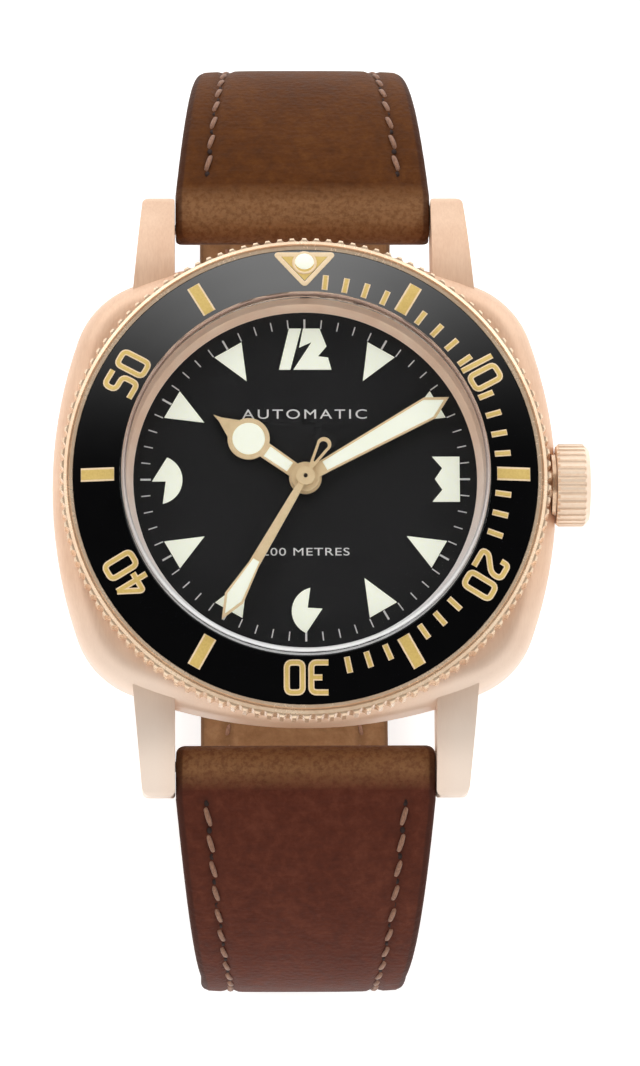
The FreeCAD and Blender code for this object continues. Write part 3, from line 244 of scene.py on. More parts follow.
def pearled_metal(name, dark, light, pitch):
    """Plate metal with overlapping spots of circular grain."""
    made, tree, shader = new_material(name, {"Metallic": 1.0})
    cells = node(tree, "TexVoronoi", {"Vector": place(tree, (1 / pitch, 1 / pitch, 0)), "Scale": 1.0,
                                      "Randomness": 0.0}, voronoi_dimensions="2D")
    rings = math_node(tree, "SINE", math_node(tree, "MULTIPLY", cells.outputs["Distance"], 40.0))
    tree.links.new(ramp(tree, cells.outputs["Distance"], [(0.0, light), (0.7, dark)]),
                   shader.inputs["Base Color"])
    tree.links.new(spread(tree, rings, 0.22, 0.36, -1.0, 1.0), shader.inputs["Roughness"])
    emboss(tree, shader, rings, 0.35, 0.01)
    return made


def matte(name, dark, light, roughness, grain, bump=0.4, depth=0.012, more=None):
    """Paint, rubber or plastic with a fine even grain."""
    made, tree, shader = new_material(name, more or {})
    speckle = noise(tree, place(tree), grain, 5.0, 0.65)
    clouds = noise(tree, place(tree), 0.25, 3.0)
    shade = math_node(tree, "MULTIPLY_ADD", speckle, 0.6, math_node(tree, "MULTIPLY", clouds, 0.4))
    tree.links.new(ramp(tree, shade, [(0.3, dark), (0.7, light)]), shader.inputs["Base Color"])
    tree.links.new(spread(tree, speckle, roughness * 0.85, min(roughness * 1.15, 1.0)),
                   shader.inputs["Roughness"])
    emboss(tree, shader, speckle, bump, depth)
    return made


def ceramic(name):
    """Polished black ceramic of the bezel insert."""
    made, tree, shader = new_material(name, {"IOR": 2.2})
    haze = noise(tree, place(tree), 0.5, 4.0)
    tree.links.new(ramp(tree, haze, [(0.3, srgb(1, 1, 2)), (0.7, srgb(3, 3, 4))]),
                   shader.inputs["Base Color"])
    tree.links.new(spread(tree, haze, 0.03, 0.05), shader.inputs["Roughness"])
    emboss(tree, shader, noise(tree, place(tree), 14.0, 3.0), 0.02, 0.002)
    return made


def sapphire(name):
    """Clear domed crystal with the faintest polish marks."""
    made, tree, shader = new_material(name, {"Transmission Weight": 1.0, "IOR": 1.04, "Coat Weight": 0.25,
                                             "Coat Roughness": 0.02, "Base Color": (1.0, 1.0, 1.0, 1.0)})
    marks = noise(tree, place(tree), 0.6, 2.0)
    tree.links.new(spread(tree, marks, 0.0, 0.012), shader.inputs["Roughness"])
    return made


def leather(name, dark, middle, light, grain, shine, painted_light_low_end=None):
    """Calf leather: cloudy dye, pores and creases, darker edges; the optional colours towards 6 o'clock are
    painted light, more red there, with a lighter painted highlight where the strap leaves the lugs.
    """
    made, tree, shader = new_material(name, {"IOR": 1.4, "Specular IOR Level": 0.16})
    where = place(tree)
    clouds = noise(tree, where, 0.16, 5.0, 0.6, 0.6)
    mottle = noise(tree, where, 1.1, 6.0, 0.68, 0.3)
    dye = math_node(tree, "MULTIPLY_ADD", clouds, 0.35, math_node(tree, "MULTIPLY", mottle, 0.65))
    colour = ramp(tree, dye, [(0.26, dark), (0.5, middle), (0.74, light)])
    if painted_light_low_end is not None:
        # Painted light: the leather turns more red towards 6 o'clock.
        along = axis(tree, where, 1)
        painted_red_share = node(tree, "MapRange", {"Value": along, "From Min": -22.0, "From Max": 22.0,
                                         "To Min": 0.85, "To Max": 0.0}, interpolation_type="SMOOTHSTEP")
        painted_red_colour = ramp(tree, dye, list(zip((0.26, 0.5, 0.74), painted_light_low_end)))
        colour = blend(tree, painted_red_share.outputs["Result"], colour, painted_red_colour)
        # Painted highlight: the leather is drawn lighter, in specks, where the strap leaves the lugs.
        painted_highlight_near_lugs = spread(tree, math_node(tree, "ABSOLUTE", math_node(tree, "SUBTRACT", along, 0.7)),
                      0.95, 0.0, 22.6, 24.2)
        specks = spread(tree, noise(tree, where, 2.6, 4.0, 0.7), 0.5, 1.0, 0.38, 0.56)
        colour = blend(tree, math_node(tree, "MULTIPLY", painted_highlight_near_lugs, specks), colour, srgb(140, 99, 65))
    edge = node(tree, "Attribute", attribute_name="edge").outputs["Fac"]
    darkened_share = math_node(tree, "MULTIPLY", edge, spread(tree, mottle, 0.75, 1.0))
    colour = blend(tree, math_node(tree, "MULTIPLY", darkened_share, 0.72), colour, srgb(52, 26, 18))
    tree.links.new(colour, shader.inputs["Base Color"])
    tree.links.new(spread(tree, mottle, shine - 0.09, shine + 0.09), shader.inputs["Roughness"])
    pebbles = node(tree, "TexVoronoi", {"Vector": where, "Scale": grain, "Randomness": 1.0},
                   feature="SMOOTH_F1").outputs["Distance"]
    creases = noise(tree, place(tree, (0.35, 1.6, 1.6)), 1.0, 7.0, 0.7, 1.2)
    pores = noise(tree, where, grain * 2.4, 3.0, 0.6)
    low = emboss(tree, shader, creases, 0.55, 0.16)
    skin = math_node(tree, "MULTIPLY_ADD", pores, 0.35, pebbles)
    emboss(tree, shader, skin, 0.7, 0.1, low)
    return made


def thread(name, dark, light):
    """Twisted waxed thread."""
    made, tree, shader = new_material(name, {"Sheen Weight": 0.25, "Sheen Roughness": 0.5})
    fibres = noise(tree, place(tree, (5, 2.2, 5)), 1.6, 5.0, 0.7)
    tree.links.new(ramp(tree, fibres, [(0.3, dark), (0.7, light)]), shader.inputs["Base Color"])
    tree.links.new(spread(tree, fibres, 0.5, 0.75), shader.inputs["Roughness"])
    emboss(tree, shader, fibres, 0.7, 0.05)
    return made


BRONZE_DARK, BRONZE_LIGHT = srgb(222, 181, 151), srgb(242, 208, 180)
GILT_DARK, GILT_LIGHT = srgb(226, 196, 148), srgb(246, 222, 182)
STEEL_DARK, STEEL_LIGHT = srgb(168, 168, 170), srgb(208, 208, 210)
BRASS_DARK, BRASS_LIGHT = srgb(186, 148, 78), srgb(222, 188, 116)
RHODIUM_DARK, RHODIUM_LIGHT = srgb(150, 150, 154), srgb(200, 200, 204)

# The last colour is a painted highlight on the lower lug ends.
bronze_case = metal("bronze_satin", BRONZE_DARK, BRONZE_LIGHT, 0.4, (7, 0.8, 7), 0.2, 0.26, srgb(246, 229, 214))
bronze_bright = metal("bronze_polished", srgb(236, 200, 166), srgb(253, 228, 198), 0.25, (3, 3, 3), 0.05, 0.5)
bronze_crown = metal("bronze_crown", srgb(244, 212, 184), srgb(255, 236, 214), 0.32, (3, 3, 3), 0.05, 0.2)
bronze_back = turned_metal("bronze_turned", BRONZE_DARK, BRONZE_LIGHT, 0.3, (0, 0, 0), metallic=0.7)
# The rehaut's emission is painted light, and its near-white lower side a painted reflection.
rose_ring = turned_metal("rose_ring", srgb(244, 200, 170), srgb(255, 228, 204), 0.2, (0, 0, 0), metallic=0.15,
                         painted_reflection=srgb(250, 250, 250), painted_glow=0.12)
# Painted reflection: the crystal bevel's colours stand for what it mirrors, the bronze above and white light
# towards 6 o'clock.
painted_bevel_reflection = turned_metal("painted_bevel_reflection", srgb(120, 92, 78), srgb(170, 138, 120), 0.2, (0, 0, 0), metallic=0.3,
                           painted_reflection=srgb(250, 250, 250))
steel = metal("steel_ground", STEEL_DARK, STEEL_LIGHT, 0.28, (0.9, 9, 9), 0.3)
gilt = metal("gilt_polished", GILT_DARK, GILT_LIGHT, 0.34, (2.5, 2.5, 2.5), 0.12, metallic=0.05)
gold_ink = matte("gold_ink", srgb(206, 172, 88), srgb(232, 202, 124), 0.42, 6.0, 0.25)
gold_rim = matte("gold_rim", srgb(236, 204, 160), srgb(250, 226, 190), 0.36, 6.0, 0.2)
black_ceramic = ceramic("black_ceramic")
black_dial = matte("black_dial", srgb(16, 16, 17), srgb(23, 23, 24), 0.7, 12.0, 0.4, 0.008,
                   more={"Specular IOR Level": 0.3})
white_print = matte("white_print", srgb(206, 206, 204), srgb(236, 236, 234), 0.6, 8.0, 0.2)
# The emission is painted light that replaces light lost in the crystal.
lume = matte("lume", srgb(228, 232, 212), srgb(244, 246, 232), 0.65, 5.0, 0.5, 0.02,
             more={"Emission Color": srgb(235, 238, 222), "Emission Strength": 0.27})
clear_crystal = sapphire("sapphire")
rubber = matte("nitrile_rubber", srgb(20, 20, 20), srgb(34, 34, 34), 0.75, 4.0)
white_gasket = matte("nylon_gasket", srgb(214, 214, 210), srgb(238, 238, 234), 0.4, 4.0)
plastic = matte("spacer_plastic", srgb(206, 200, 186), srgb(226, 222, 210), 0.5, 3.0)
ruby = matte("ruby", srgb(150, 14, 40), srgb(196, 30, 62), 0.1, 3.0, 0.05, 0.004,
             more={"Coat Weight": 0.6, "Coat Roughness": 0.05})
bridge_metal = striped_metal("striped_bridges", RHODIUM_DARK, RHODIUM_LIGHT, 1.1)
plate_metal = pearled_metal("pearled_plate", RHODIUM_DARK, RHODIUM_LIGHT, 0.9)
rotor_metal = striped_metal("striped_rotor", srgb(176, 142, 86), srgb(214, 184, 124), 1.4)
blued = metal("blued_steel", srgb(28, 40, 92), srgb(52, 74, 142), 0.22, (8, 8, 8), 0.15)
dark_pin = metal("dark_pin", srgb(46, 40, 36), srgb(70, 60, 52), 0.3, (6, 6, 6), 0.1)

# The last three colours are painted light: a more red strap towards 6 o'clock.
calf = leather("calf", srgb(70, 36, 9), srgb(90, 49, 15), srgb(110, 66, 28), 2.6, 0.6,
               (srgb(66, 27, 19), srgb(87, 40, 29), srgb(108, 57, 44)))
lining_calf = leather("lining_calf", srgb(128, 90, 58), srgb(150, 110, 76), srgb(170, 130, 94), 3.4, 0.6)
brown_thread = thread("brown_thread", srgb(104, 66, 46), srgb(172, 126, 98))
# Painted shade: the stitch dimples are drawn near black for the shade inside the holes.
stitch_shadow = matte("stitch_hole_shade", srgb(34, 17, 12), srgb(52, 28, 20), 0.8, 6.0)


def finish_cad_nodes():
    """Gives every carried-over piece of the design its finish."""
    plain = {
        bronze_case: ["case_body", "buckle_frame"],
        bronze_bright: ["bezel_ring", "buckle_tongue", "buckle_bar", "crown_tube"],
        bronze_crown: ["crown"],
        bronze_back: ["case_back"],
        rose_ring: ["rehaut_ring"],
        steel: ["spring_bars", "winding_stem", "setting_lever", "pallet_fork", "bezel_click_spring",
                "rotor_bearing", "mainspring"],
        rubber: ["case_back_gasket", "crown_gasket"],
        white_gasket: ["crystal_gasket"],
        plastic: ["movement_ring"],
        black_ceramic: ["bezel_insert"],
        clear_crystal: ["crystal"],
        black_dial: ["dial"],
        lume: ["dial_markers", "bezel_pip"],
        gilt: ["hour_hand", "minute_hand", "seconds_hand"],
        bridge_metal: ["barrel_bridge", "train_bridge", "balance_cock", "pallet_bridge", "automatic_bridge"],
        plate_metal: ["main_plate"],
        rotor_metal: ["rotor"],
        ruby: ["jewels"],
        blued: ["movement_screws", "hairspring"],
    }
    for finish, names in plain.items():
        for name in names:
            dress(nodes[name], finish)
    turned = {
        "brass": ["centre_wheel", "hour_wheel", "minute_wheel", "third_wheel", "fourth_wheel", "balance_wheel",
                  "barrel", "reversing_wheel"],
        "steel": ["cannon_pinion", "sweep_seconds_pinion", "escape_wheel", "winding_pinion", "sliding_pinion",
                  "crown_wheel", "ratchet_wheel", "barrel_arbor"],
    }
    shades = {"brass": (BRASS_DARK, BRASS_LIGHT), "steel": (STEEL_DARK, STEEL_LIGHT)}
    for kind, names in turned.items():
        for name in names:
            low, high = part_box(name)
            middle = [(a + b) / 2 / MM for a, b in zip(low, high)]
            dress(nodes[name], turned_metal(f"{kind}_{name}", *shades[kind], 0.26, middle))


def dress(obj, finish):
    """Makes one finish the only material of a piece."""
    obj.data.materials.clear()
    obj.data.materials.append(finish)


# ---- mesh helpers ----

def circle(radius, count, middle=(0.0, 0.0)):
    """Evenly spaced points of a flat circle."""
    return [(middle[0] + radius * math.cos(a), middle[1] + radius * math.sin(a))
            for a in (math.tau * k / count for k in range(count))]


def piece(name, points, faces, finish, body, slot, smooth=True):
    """A new piece from points in millimetres, riding on a body."""
    mesh = bpy.data.meshes.new(name)
    mesh.from_pydata([Vector(p) * MM for p in points], [], faces)
    mesh.validate()
    work = bmesh.new()
    work.from_mesh(mesh)
    bmesh.ops.recalc_face_normals(work, faces=work.faces)
    for face in work.faces:
        face.smooth = smooth
    work.to_mesh(mesh)
    work.free()
    mesh.materials.append(finish)
    obj = bpy.data.objects.new(name, mesh)
    scene.collection.objects.link(obj)
    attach(obj, body)
    return obj


def loft(rings):
    """Points and faces of a closed skin through rings with equal point counts, capped at both ends."""
    count = len(rings[0])
    points = [p for ring in rings for p in ring]
    faces = []
    for row in range(len(rings) - 1):
        for i in range(count):
            j = (i + 1) % count
            a, b = row * count, (row + 1) * count
            faces.append((a + i, a + j, b + j, b + i))
    last = (len(rings) - 1) * count
    faces += [tuple(range(count)), tuple(last + i for i in range(count))]
    return points, faces


def merge(parts):
    """Several (points, faces) lists as one."""
    points, faces = [], []
    for some_points, some_faces in parts:
        base = len(points)
        points += some_points
        faces += [tuple(base + i for i in face) for face in some_faces]
    return points, faces


def set_edge_mask(obj, values):
    """Stores how dark each point is drawn: near a burnished or rubbed edge, and along the sewn grooves."""
    mask = obj.data.attributes.new("edge", "FLOAT", "POINT")
    mask.data.foreach_set("value", values)


def turned_by(angle):
    """A turn of that many degrees clockwise from 12 o'clock, seen from the front."""
    return Matrix.Rotation(-math.radians(angle), 3, "Z")


# ---- the strap ----

def path_length(path):
    """Length of a strap half's middle line."""
    return sum(size if kind == "line" else size * math.radians(last - first)
               for kind, size, first, last in path)


def strap_spot(path, s):
    """Middle line of a strap half at length s: how far out, how far up, and its angle."""
    out = up = 0.0
    for index, (kind, size, first, last) in enumerate(path):
        start = math.radians(first)
        length = size if kind == "line" else size * math.radians(last - first)
        here = s if index == len(path) - 1 else min(s, length)
        if kind == "line":
            angle = start
            out, up = out + here * math.cos(start), up - here * math.sin(start)
        else:
            angle = start + here / size
            out += size * (math.sin(angle) - math.sin(start))
            up -= size * (math.cos(start) - math.cos(angle))
        s -= here
        if s <= 0:
            break
    return out, up, angle


def strap_point(path, side, s, x, n):
    """A point of the strap: s along it, x across it and n towards its outer face."""
    out, up, angle = strap_spot(path, s)
    return (x, side * (BAR_Y + out + n * math.sin(angle)), BAR_Z + up + n * math.cos(angle))


def strap_width(s):
    """Width of the strap at length s."""
    share = (s - TAPER_FROM) / (TAPER_TO - TAPER_FROM)
    return WIDTH_AT_LUGS + (WIDTH_AT_BUCKLE - WIDTH_AT_LUGS) * min(max(share, 0.0), 1.0)


def strap_thickness(s):
    """Thickness of both leather layers at length s."""
    if s < 8.0:
        return 3.4 - 0.5 * max(s, 0.0) / 8.0
    return 2.9 - 0.5 * min((s - 8.0) / 42.0, 1.0)


def round_end(left, radius):
    """Share of the full thickness that is left at a distance from a rounded end."""
    t = min(max(left / radius, 0.0), 1.0)
    return max(math.sqrt(1.0 - (1.0 - t) ** 2), 0.12)


class StrapHalf:
    """One half of the strap: its run, and its width and thickness at each length."""

    def __init__(self, path, side, back, length, seam, pointed):
        self.path, self.side, self.back, self.length = path, side, back, length
        self.seam, self.pointed = seam, pointed

    def half_width(self, s):
        """Half the width at length s, with rounded corners and the pointed tip."""
        half = strap_width(s) / 2 - 0.6 * (1.0 - round_end(s + self.back, 0.6))
        if self.pointed:
            left = min(max(self.length - s, 0.0) / TIP, 1.0)
            half *= 0.34 + 0.66 * math.sqrt(1.0 - (1.0 - left) ** 2)
        return half

    def fullness(self, s):
        """Share of the full thickness at length s, under one only near the rounded ends."""
        thick = strap_thickness(s) / 2
        far_radius = 0.8 if self.pointed else thick
        return min(round_end(s + self.back, thick), round_end(self.length - s, far_radius))

    def rows(self):
        """Lengths of the cross sections, closer together near both ends."""
        fine, s, found = 2.4, -self.back, []
        while s < self.length:
            found.append(s)
            near = min(s + self.back, self.length - s)
            zone = TIP if self.pointed and self.length - s < TIP else fine
            s += 0.5 if near > zone else max(0.06, 0.34 * near / fine)
        return found + [self.length - 0.002]

    def point(self, s, x, n):
        """The point at length s, x across and n towards the outer face."""
        return strap_point(self.path, self.side, s, x, n)


SHORT = StrapHalf(SHORT_PATH, 1, SHORT_END, path_length(SHORT_PATH) + PAST_BUCKLE, 4.1, False)
LONG = StrapHalf(LONG_PATH, -1, LONG_END, path_length(LONG_PATH), 2.75, True)


def near_side(x, half):
    """How burnished the leather is at x: one at its cut side, nothing 0.7 mm inside it."""
    return min(1.0, max(0.0, (abs(x) - half + 0.7) / 0.7))


def outer_section(half, thick, sewn):
    """Cross section of the outer leather: crowned, with rounded edges and a groove each side where sewn."""
    low, high, edge = -thick / 2 + LINING, thick / 2, 0.6
    groove = half - STITCH_IN
    across = []
    steps = 44
    for i in range(steps + 1):
        x = -(half - edge) + 2 * (half - edge) * i / steps
        sunk = 0.3 * sewn * math.exp(-((abs(x) - groove) / 0.36) ** 2)
        crown = 0.2 * (abs(x) / half) ** 4
        across.append((x, high - sunk - crown, near_side(x, half) * 0.8 + sunk * 1.6))
    turn = 6
    right = [(half - edge + edge * math.sin(a), high - 0.2 - edge * (1 - math.cos(a)), 1.0)
             for a in (math.pi / 2 * (i + 1) / turn for i in range(turn))]
    left = [(-x, n, e) for x, n, e in reversed(right)]
    foot = [(half - 0.05, low + 0.14, 1.0), (half - 0.2, low, 1.0)]
    return across + right + foot + [(-x, n, e) for x, n, e in reversed(foot)] + left


def lining_section(half, thick, sewn):
    """Cross section of the lining, a thin layer with rounded lower edges and its own grooves."""
    low, high, edge = -thick / 2, -thick / 2 + LINING, 0.35
    groove = half - STITCH_IN
    across = []
    steps = 36
    for i in range(steps + 1):
        x = (half - edge) - 2 * (half - edge) * i / steps
        sunk = 0.24 * sewn * math.exp(-((abs(x) - groove) / 0.36) ** 2)
        across.append((x, low + sunk, sunk * 2.0 + near_side(x, half) * 0.6))
    turn = 4
    left = [(-(half - edge + edge * math.sin(a)), low + edge * (1 - math.cos(a)), 0.8)
            for a in (math.pi / 2 * (i + 1) / turn for i in range(turn))]
    right = [(-x, n, e) for x, n, e in reversed(left)]
    head = [(-(half - 0.04), high - 0.12, 0.8), (-(half - 0.18), high, 0.8)]
    return across + left + head + [(-x, n, e) for x, n, e in reversed(head)] + right


def strap_layer(name, strap, section, finish, body, slot, replaced):
    """One leather layer of a strap half, with its creases where it leaves the lugs."""
    rings, mask = [], []
    for s in strap.rows():
        full = strap.fullness(s)
        half, thick = strap.half_width(s), strap_thickness(s)
        sewn = min(max((s - strap.seam + 0.7) / 0.6, 0.0), 1.0)
        ring = []
        for x, n, edge in section(half, thick, sewn):
            if n > 0:
                n -= 0.05 * math.exp(-((s - 4.6) / 3.0) ** 2) * (1 + math.sin(s * 4.4 + 1.3 * math.sin(x * 0.5)))
            ring.append(strap.point(s, x * (0.985 + 0.015 * full), n * full))
            mask.append(min(1.0, edge + max(0.0, 1.0 - (s + strap.back) / 0.8) * 0.5
                            + max(0.0, 1.0 - (strap.length - s) / 1.2) * 0.8))
        rings.append(ring)
    points, faces = loft(rings)
    obj = piece(name, points, faces, finish, body, slot)
    set_edge_mask(obj, mask)
    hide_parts(replaced)
    return obj


def punch(obj, cutters):
    """Cuts closed shapes, given as (points, faces), out of a piece."""
    points, faces = merge(cutters)
    mesh = bpy.data.meshes.new("cutter")
    mesh.from_pydata([Vector(p) * MM for p in points], [], faces)
    work = bmesh.new()
    work.from_mesh(mesh)
    bmesh.ops.recalc_face_normals(work, faces=work.faces)
    work.to_mesh(mesh)
    work.free()
    tool = bpy.data.objects.new("cutter", mesh)
    scene.collection.objects.link(tool)
    cut = obj.modifiers.new("punch", "BOOLEAN")
    cut.operation = "DIFFERENCE"
    cut.solver = "EXACT"
    cut.object = tool
    bpy.context.view_layer.update()
    result = bpy.data.meshes.new_from_object(obj.evaluated_get(bpy.context.evaluated_depsgraph_get()))
    obj.modifiers.clear()
    old = obj.data
    obj.data = result
    result.name = old.name
    bpy.data.meshes.remove(old)
    bpy.data.objects.remove(tool)
    bpy.data.meshes.remove(mesh)


def hole_cutters():
    """The round buckle holes of the long half."""
    cutters = []
    for i in range(HOLES):
        s = LONG.length - HOLE_FIRST - HOLE_PITCH * i
        rings = []
        for n, radius in ((2.0, HOLE_RADIUS + 0.5), (1.2, HOLE_RADIUS + 0.06), (0.95, HOLE_RADIUS - 0.04),
                          (-2.0, HOLE_RADIUS - 0.04)):
            rings.append([LONG.point(at, x, n) for at, x in circle(radius, 28, (s, 0.0))])
        cutters.append(loft(rings))
    return cutters


def notch_cutter():
    """The slot of the short half that the buckle's tongue swings in."""
    bar = path_length(SHORT_PATH)
    start, end, half = bar - NOTCH_AFTER, bar + NOTCH_BEFORE, NOTCH_HALF
    outline = [(end, -half), (end, half), (start + half, half)]
    outline += [(start + half - half * math.sin(a), half * math.cos(a))
                for a in (math.pi * k / 12 for k in range(1, 12))]
    outline.append((start + half, -half))
    return loft([[SHORT.point(s, x, n) for s, x in outline] for n in (2.2, -2.2)])


def seam_spots(strap):
    """Lists of the (s, x) places where the thread goes through, evenly spaced along each seam."""
    def edge_run(last):
        count = round((last - strap.seam) / STITCH_PITCH)
        lengths = [strap.seam + (last - strap.seam) * i / count for i in range(count + 1)]
        return [(s, strap.half_width(s) - STITCH_IN) for s in lengths]

    last = strap.length - (TIP + 1.0) if strap.pointed else path_length(SHORT_PATH) - 5.2
    side = edge_run(last)
    across = side[-1][1]
    count = max(2, round(across * (3.4 if strap.pointed else 2.0) / STITCH_PITCH))
    bow = TIP - 3.6 if strap.pointed else 0.0
    cross = []
    for i in range(count + 1):
        angle = math.pi * i / count
        x = across * math.cos(angle) if strap.pointed else across * (1 - 2 * i / count)
        cross.append((last + bow * math.sin(angle), x))
    return [side, [(s, -x) for s, x in side], cross]


def stitch(strap, here, there, face, lean):
    """One stitch: a thread that rises out of its hole and dives into the next."""
    ds, dx = there[0] - here[0], there[1] - here[1]
    size = math.hypot(ds, dx)
    ds, dx = ds / size, dx / size
    mid = ((here[0] + there[0]) / 2, (here[1] + there[1]) / 2)
    surface = face * (strap_thickness(mid[0]) / 2 - 0.37)
    rings = []
    for i in range(9):
        t = i / 8 * 2 - 1
        along, aside = t * STITCH_LENGTH / 2, lean * t * 0.16
        height = surface + face * (0.16 - 0.34 * t ** 4)
        radius = STITCH_THICK * (1 - 0.35 * t * t)
        ring = []
        for k in range(8):
            a = math.tau * k / 8
            over = aside + radius * math.cos(a)
            ring.append(strap.point(mid[0] + ds * along - dx * over, mid[1] + dx * along + ds * over,
                                    height + radius * 0.8 * math.sin(a)))
        rings.append(ring)
    return loft(rings)


def stitch_hole(strap, spot, face):
    """The dimple that two stitches share, darkened as painted shade."""
    surface = face * (strap_thickness(spot[0]) / 2 - (0.3 if face > 0 else 0.22))
    rings = []
    for along, aside, height in ((0.24, 0.2, 0.01), (0.16, 0.14, -0.12)):
        rings.append([strap.point(spot[0] + along * x, spot[1] + aside * y, surface + face * height)
                      for x, y in circle(1.0, 8)])
    return loft(rings)


def sew(name, strap, body):
    """All the thread of a strap half, on its outer face and on its lining."""
    stitches, dimples = [], []
    for face in (1, -1):
        for spots in seam_spots(strap):
            for here, there in zip(spots, spots[1:]):
                lean = -1 if (here[1] + there[1]) > 0 else 1
                stitches.append(stitch(strap, here, there, face, lean))
            dimples += [stitch_hole(strap, spot, face) for spot in spots]
    piece(name + "_thread", *merge(stitches), brown_thread, body, "leather_outer")
    piece(name + "_stitch_hole_shade", *merge(dimples), stitch_shadow, body, "leather_outer")


def keeper(node_name, body):
    """A crowned leather loop round the strap, its skin glued over a core."""
    low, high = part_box(node_name)
    low, high = low / MM, high / MM
    wall = 0.9
    middle_y = (low.y + high.y) / 2
    half_y = (high.y - low.y) / 2
    half_x, half_z = (high.x - low.x) / 2 - wall / 2, (high.z - low.z) / 2 - wall / 2
    middle_z = (low.z + high.z) / 2
    corner = 0.95
    run = []
    for cx, cz, start in ((1, 1, 0), (-1, 1, 90), (-1, -1, 180), (1, -1, 270)):
        for i in range(9):
            a = math.radians(start + 90 * i / 8)
            c, s = math.cos(a), math.sin(a)
            run.append(((half_x - corner) * cx + corner * c, (half_z - corner) * cz + corner * s, c, s))
    smooth_run = []
    for start, end in zip(run, run[1:] + run[:1]):
        parts = max(1, round(math.hypot(end[0] - start[0], end[1] - start[1]) / 0.7))
        for k in range(parts):
            smooth_run.append(tuple(a + (b - a) * k / parts for a, b in zip(start, end)))
    section = []
    for i in range(28):
        a = math.tau * i / 28
        c, s = math.cos(a), math.sin(a)
        v = half_y * math.copysign(abs(c) ** 0.35, c)
        n = wall / 2 * math.copysign(abs(s) ** 0.55, s)
        groove = 0.07 * math.exp(-((abs(v) - half_y + 0.75) / 0.16) ** 2) if s > 0 else 0.0
        crown = 0.1 * (v / half_y) ** 2 if s > 0 else 0.0
        edge = min(1.0, abs(v) / half_y * 1.4 - 0.7) if abs(v) > half_y / 2 else 0.0
        section.append((v, n - groove - crown, edge, groove))
    points, faces, mask = [], [], []
    for x, z, nx, nz in smooth_run:
        for v, n, edge, groove in section:
            points.append((x + nx * n, middle_y + v, middle_z + z + nz * n))
            mask.append(min(1.0, max(0.0, edge) + groove * 8))
    count, rows = len(section), len(smooth_run)
    for row in range(rows):
        after = (row + 1) % rows
        for i in range(count):
            j = (i + 1) % count
            faces.append((row * count + i, row * count + j, after * count + j, after * count + i))
    obj = piece(node_name + "_leather", points, faces, calf, body, "leather_outer")
    set_edge_mask(obj, mask)
    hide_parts(node_name)


def make_strap():
    """Both strap halves in two leather layers with their thread, and the two keepers."""
    for label, strap, body in (("strap_short", SHORT, "strap_short"), ("strap_long", LONG, "strap_long")):
        outer = strap_layer(label + "_calf", strap, outer_section, calf, body, "leather_outer", label + "_upper")
        inner = strap_layer(label + "_inside", strap, lining_section, lining_calf, body, "leather_lining",
                            label + "_lining")
        for layer in (outer, inner):
            punch(layer, hole_cutters() if strap.pointed else [notch_cutter()])
        sew(label, strap, body)
    keeper("fixed_keeper", "strap_short")
    keeper("free_keeper", "free_keeper")


# ---- marks on the bezel and the dial ----

def insert_z(radius):
    """Height of the bezel insert's sloping face at a radius."""
    return INSERT_TOP + (radius - INSERT_IN) * (INSERT_LOW - INSERT_TOP) / (INSERT_OUT - INSERT_IN)


def rounded(points, radius, closed):
    """A polyline with its corners turned into arcs."""
    count, found = len(points), []
    for i, point in enumerate(points):
        if not closed and i in (0, count - 1):
            found.append(point)
            continue
        before, here, after = Vector(points[i - 1]), Vector(point), Vector(points[(i + 1) % count])
        to_before, to_after = (before - here), (after - here)
        reach = min(radius, to_before.length * 0.49, to_after.length * 0.49)
        start, end = here + to_before.normalized() * reach, here + to_after.normalized() * reach
        for k in range(6):
            t = k / 5
            found.append(tuple(start * (1 - t) ** 2 + here * 2 * t * (1 - t) + end * t * t))
    return found


def ribbon(points, width, closed, rise, bevel=0.07):
    """A raised stroke along a flat polyline: (points, faces) in x, y and height."""
    count, rings = len(points), []
    for i in range(count):
        here = Vector(points[i])
        before = Vector(points[i - 1]) if closed or i else None
        after = Vector(points[(i + 1) % count]) if closed or i < count - 1 else None
        into = (here - before).normalized() if before is not None else (after - here).normalized()
        out = (after - here).normalized() if after is not None else into
        side_in, side_out = Vector((-into.y, into.x)), Vector((-out.y, out.x))
        side = (side_in + side_out).normalized()
        side /= max(side.dot(side_in), 0.5)
        ring = []
        for share, height in ((-1, 0.0), (-1, rise * 0.55), (-1 + 2 * bevel / width, rise),
                              (1 - 2 * bevel / width, rise), (1, rise * 0.55), (1, 0.0)):
            spot = here + side * share * width / 2
            ring.append((spot.x, spot.y, height))
        rings.append(ring)
    if not closed:
        return loft(rings)
    points, faces = loft(rings + [rings[0]])
    faces = faces[:-2]
    base = len(rings) * 6
    points = points[:base]
    return points, [tuple(i % base for i in face) for face in faces]


def on_insert(shape, angle, radius):
    """Lays a flat shape, drawn upright about its own middle, on the bezel insert."""
    points, faces = shape
    turn = turned_by(angle)
    laid = []
    for x, y, height in points:
        reach = math.hypot(x, radius + y)
        spot = turn @ Vector((x, radius + y, insert_z(reach) + height))
        laid.append(tuple(spot))
    return laid, faces


DIGIT_HALF, DIGIT_TALL, STROKE = 0.6, 1.12, 0.46


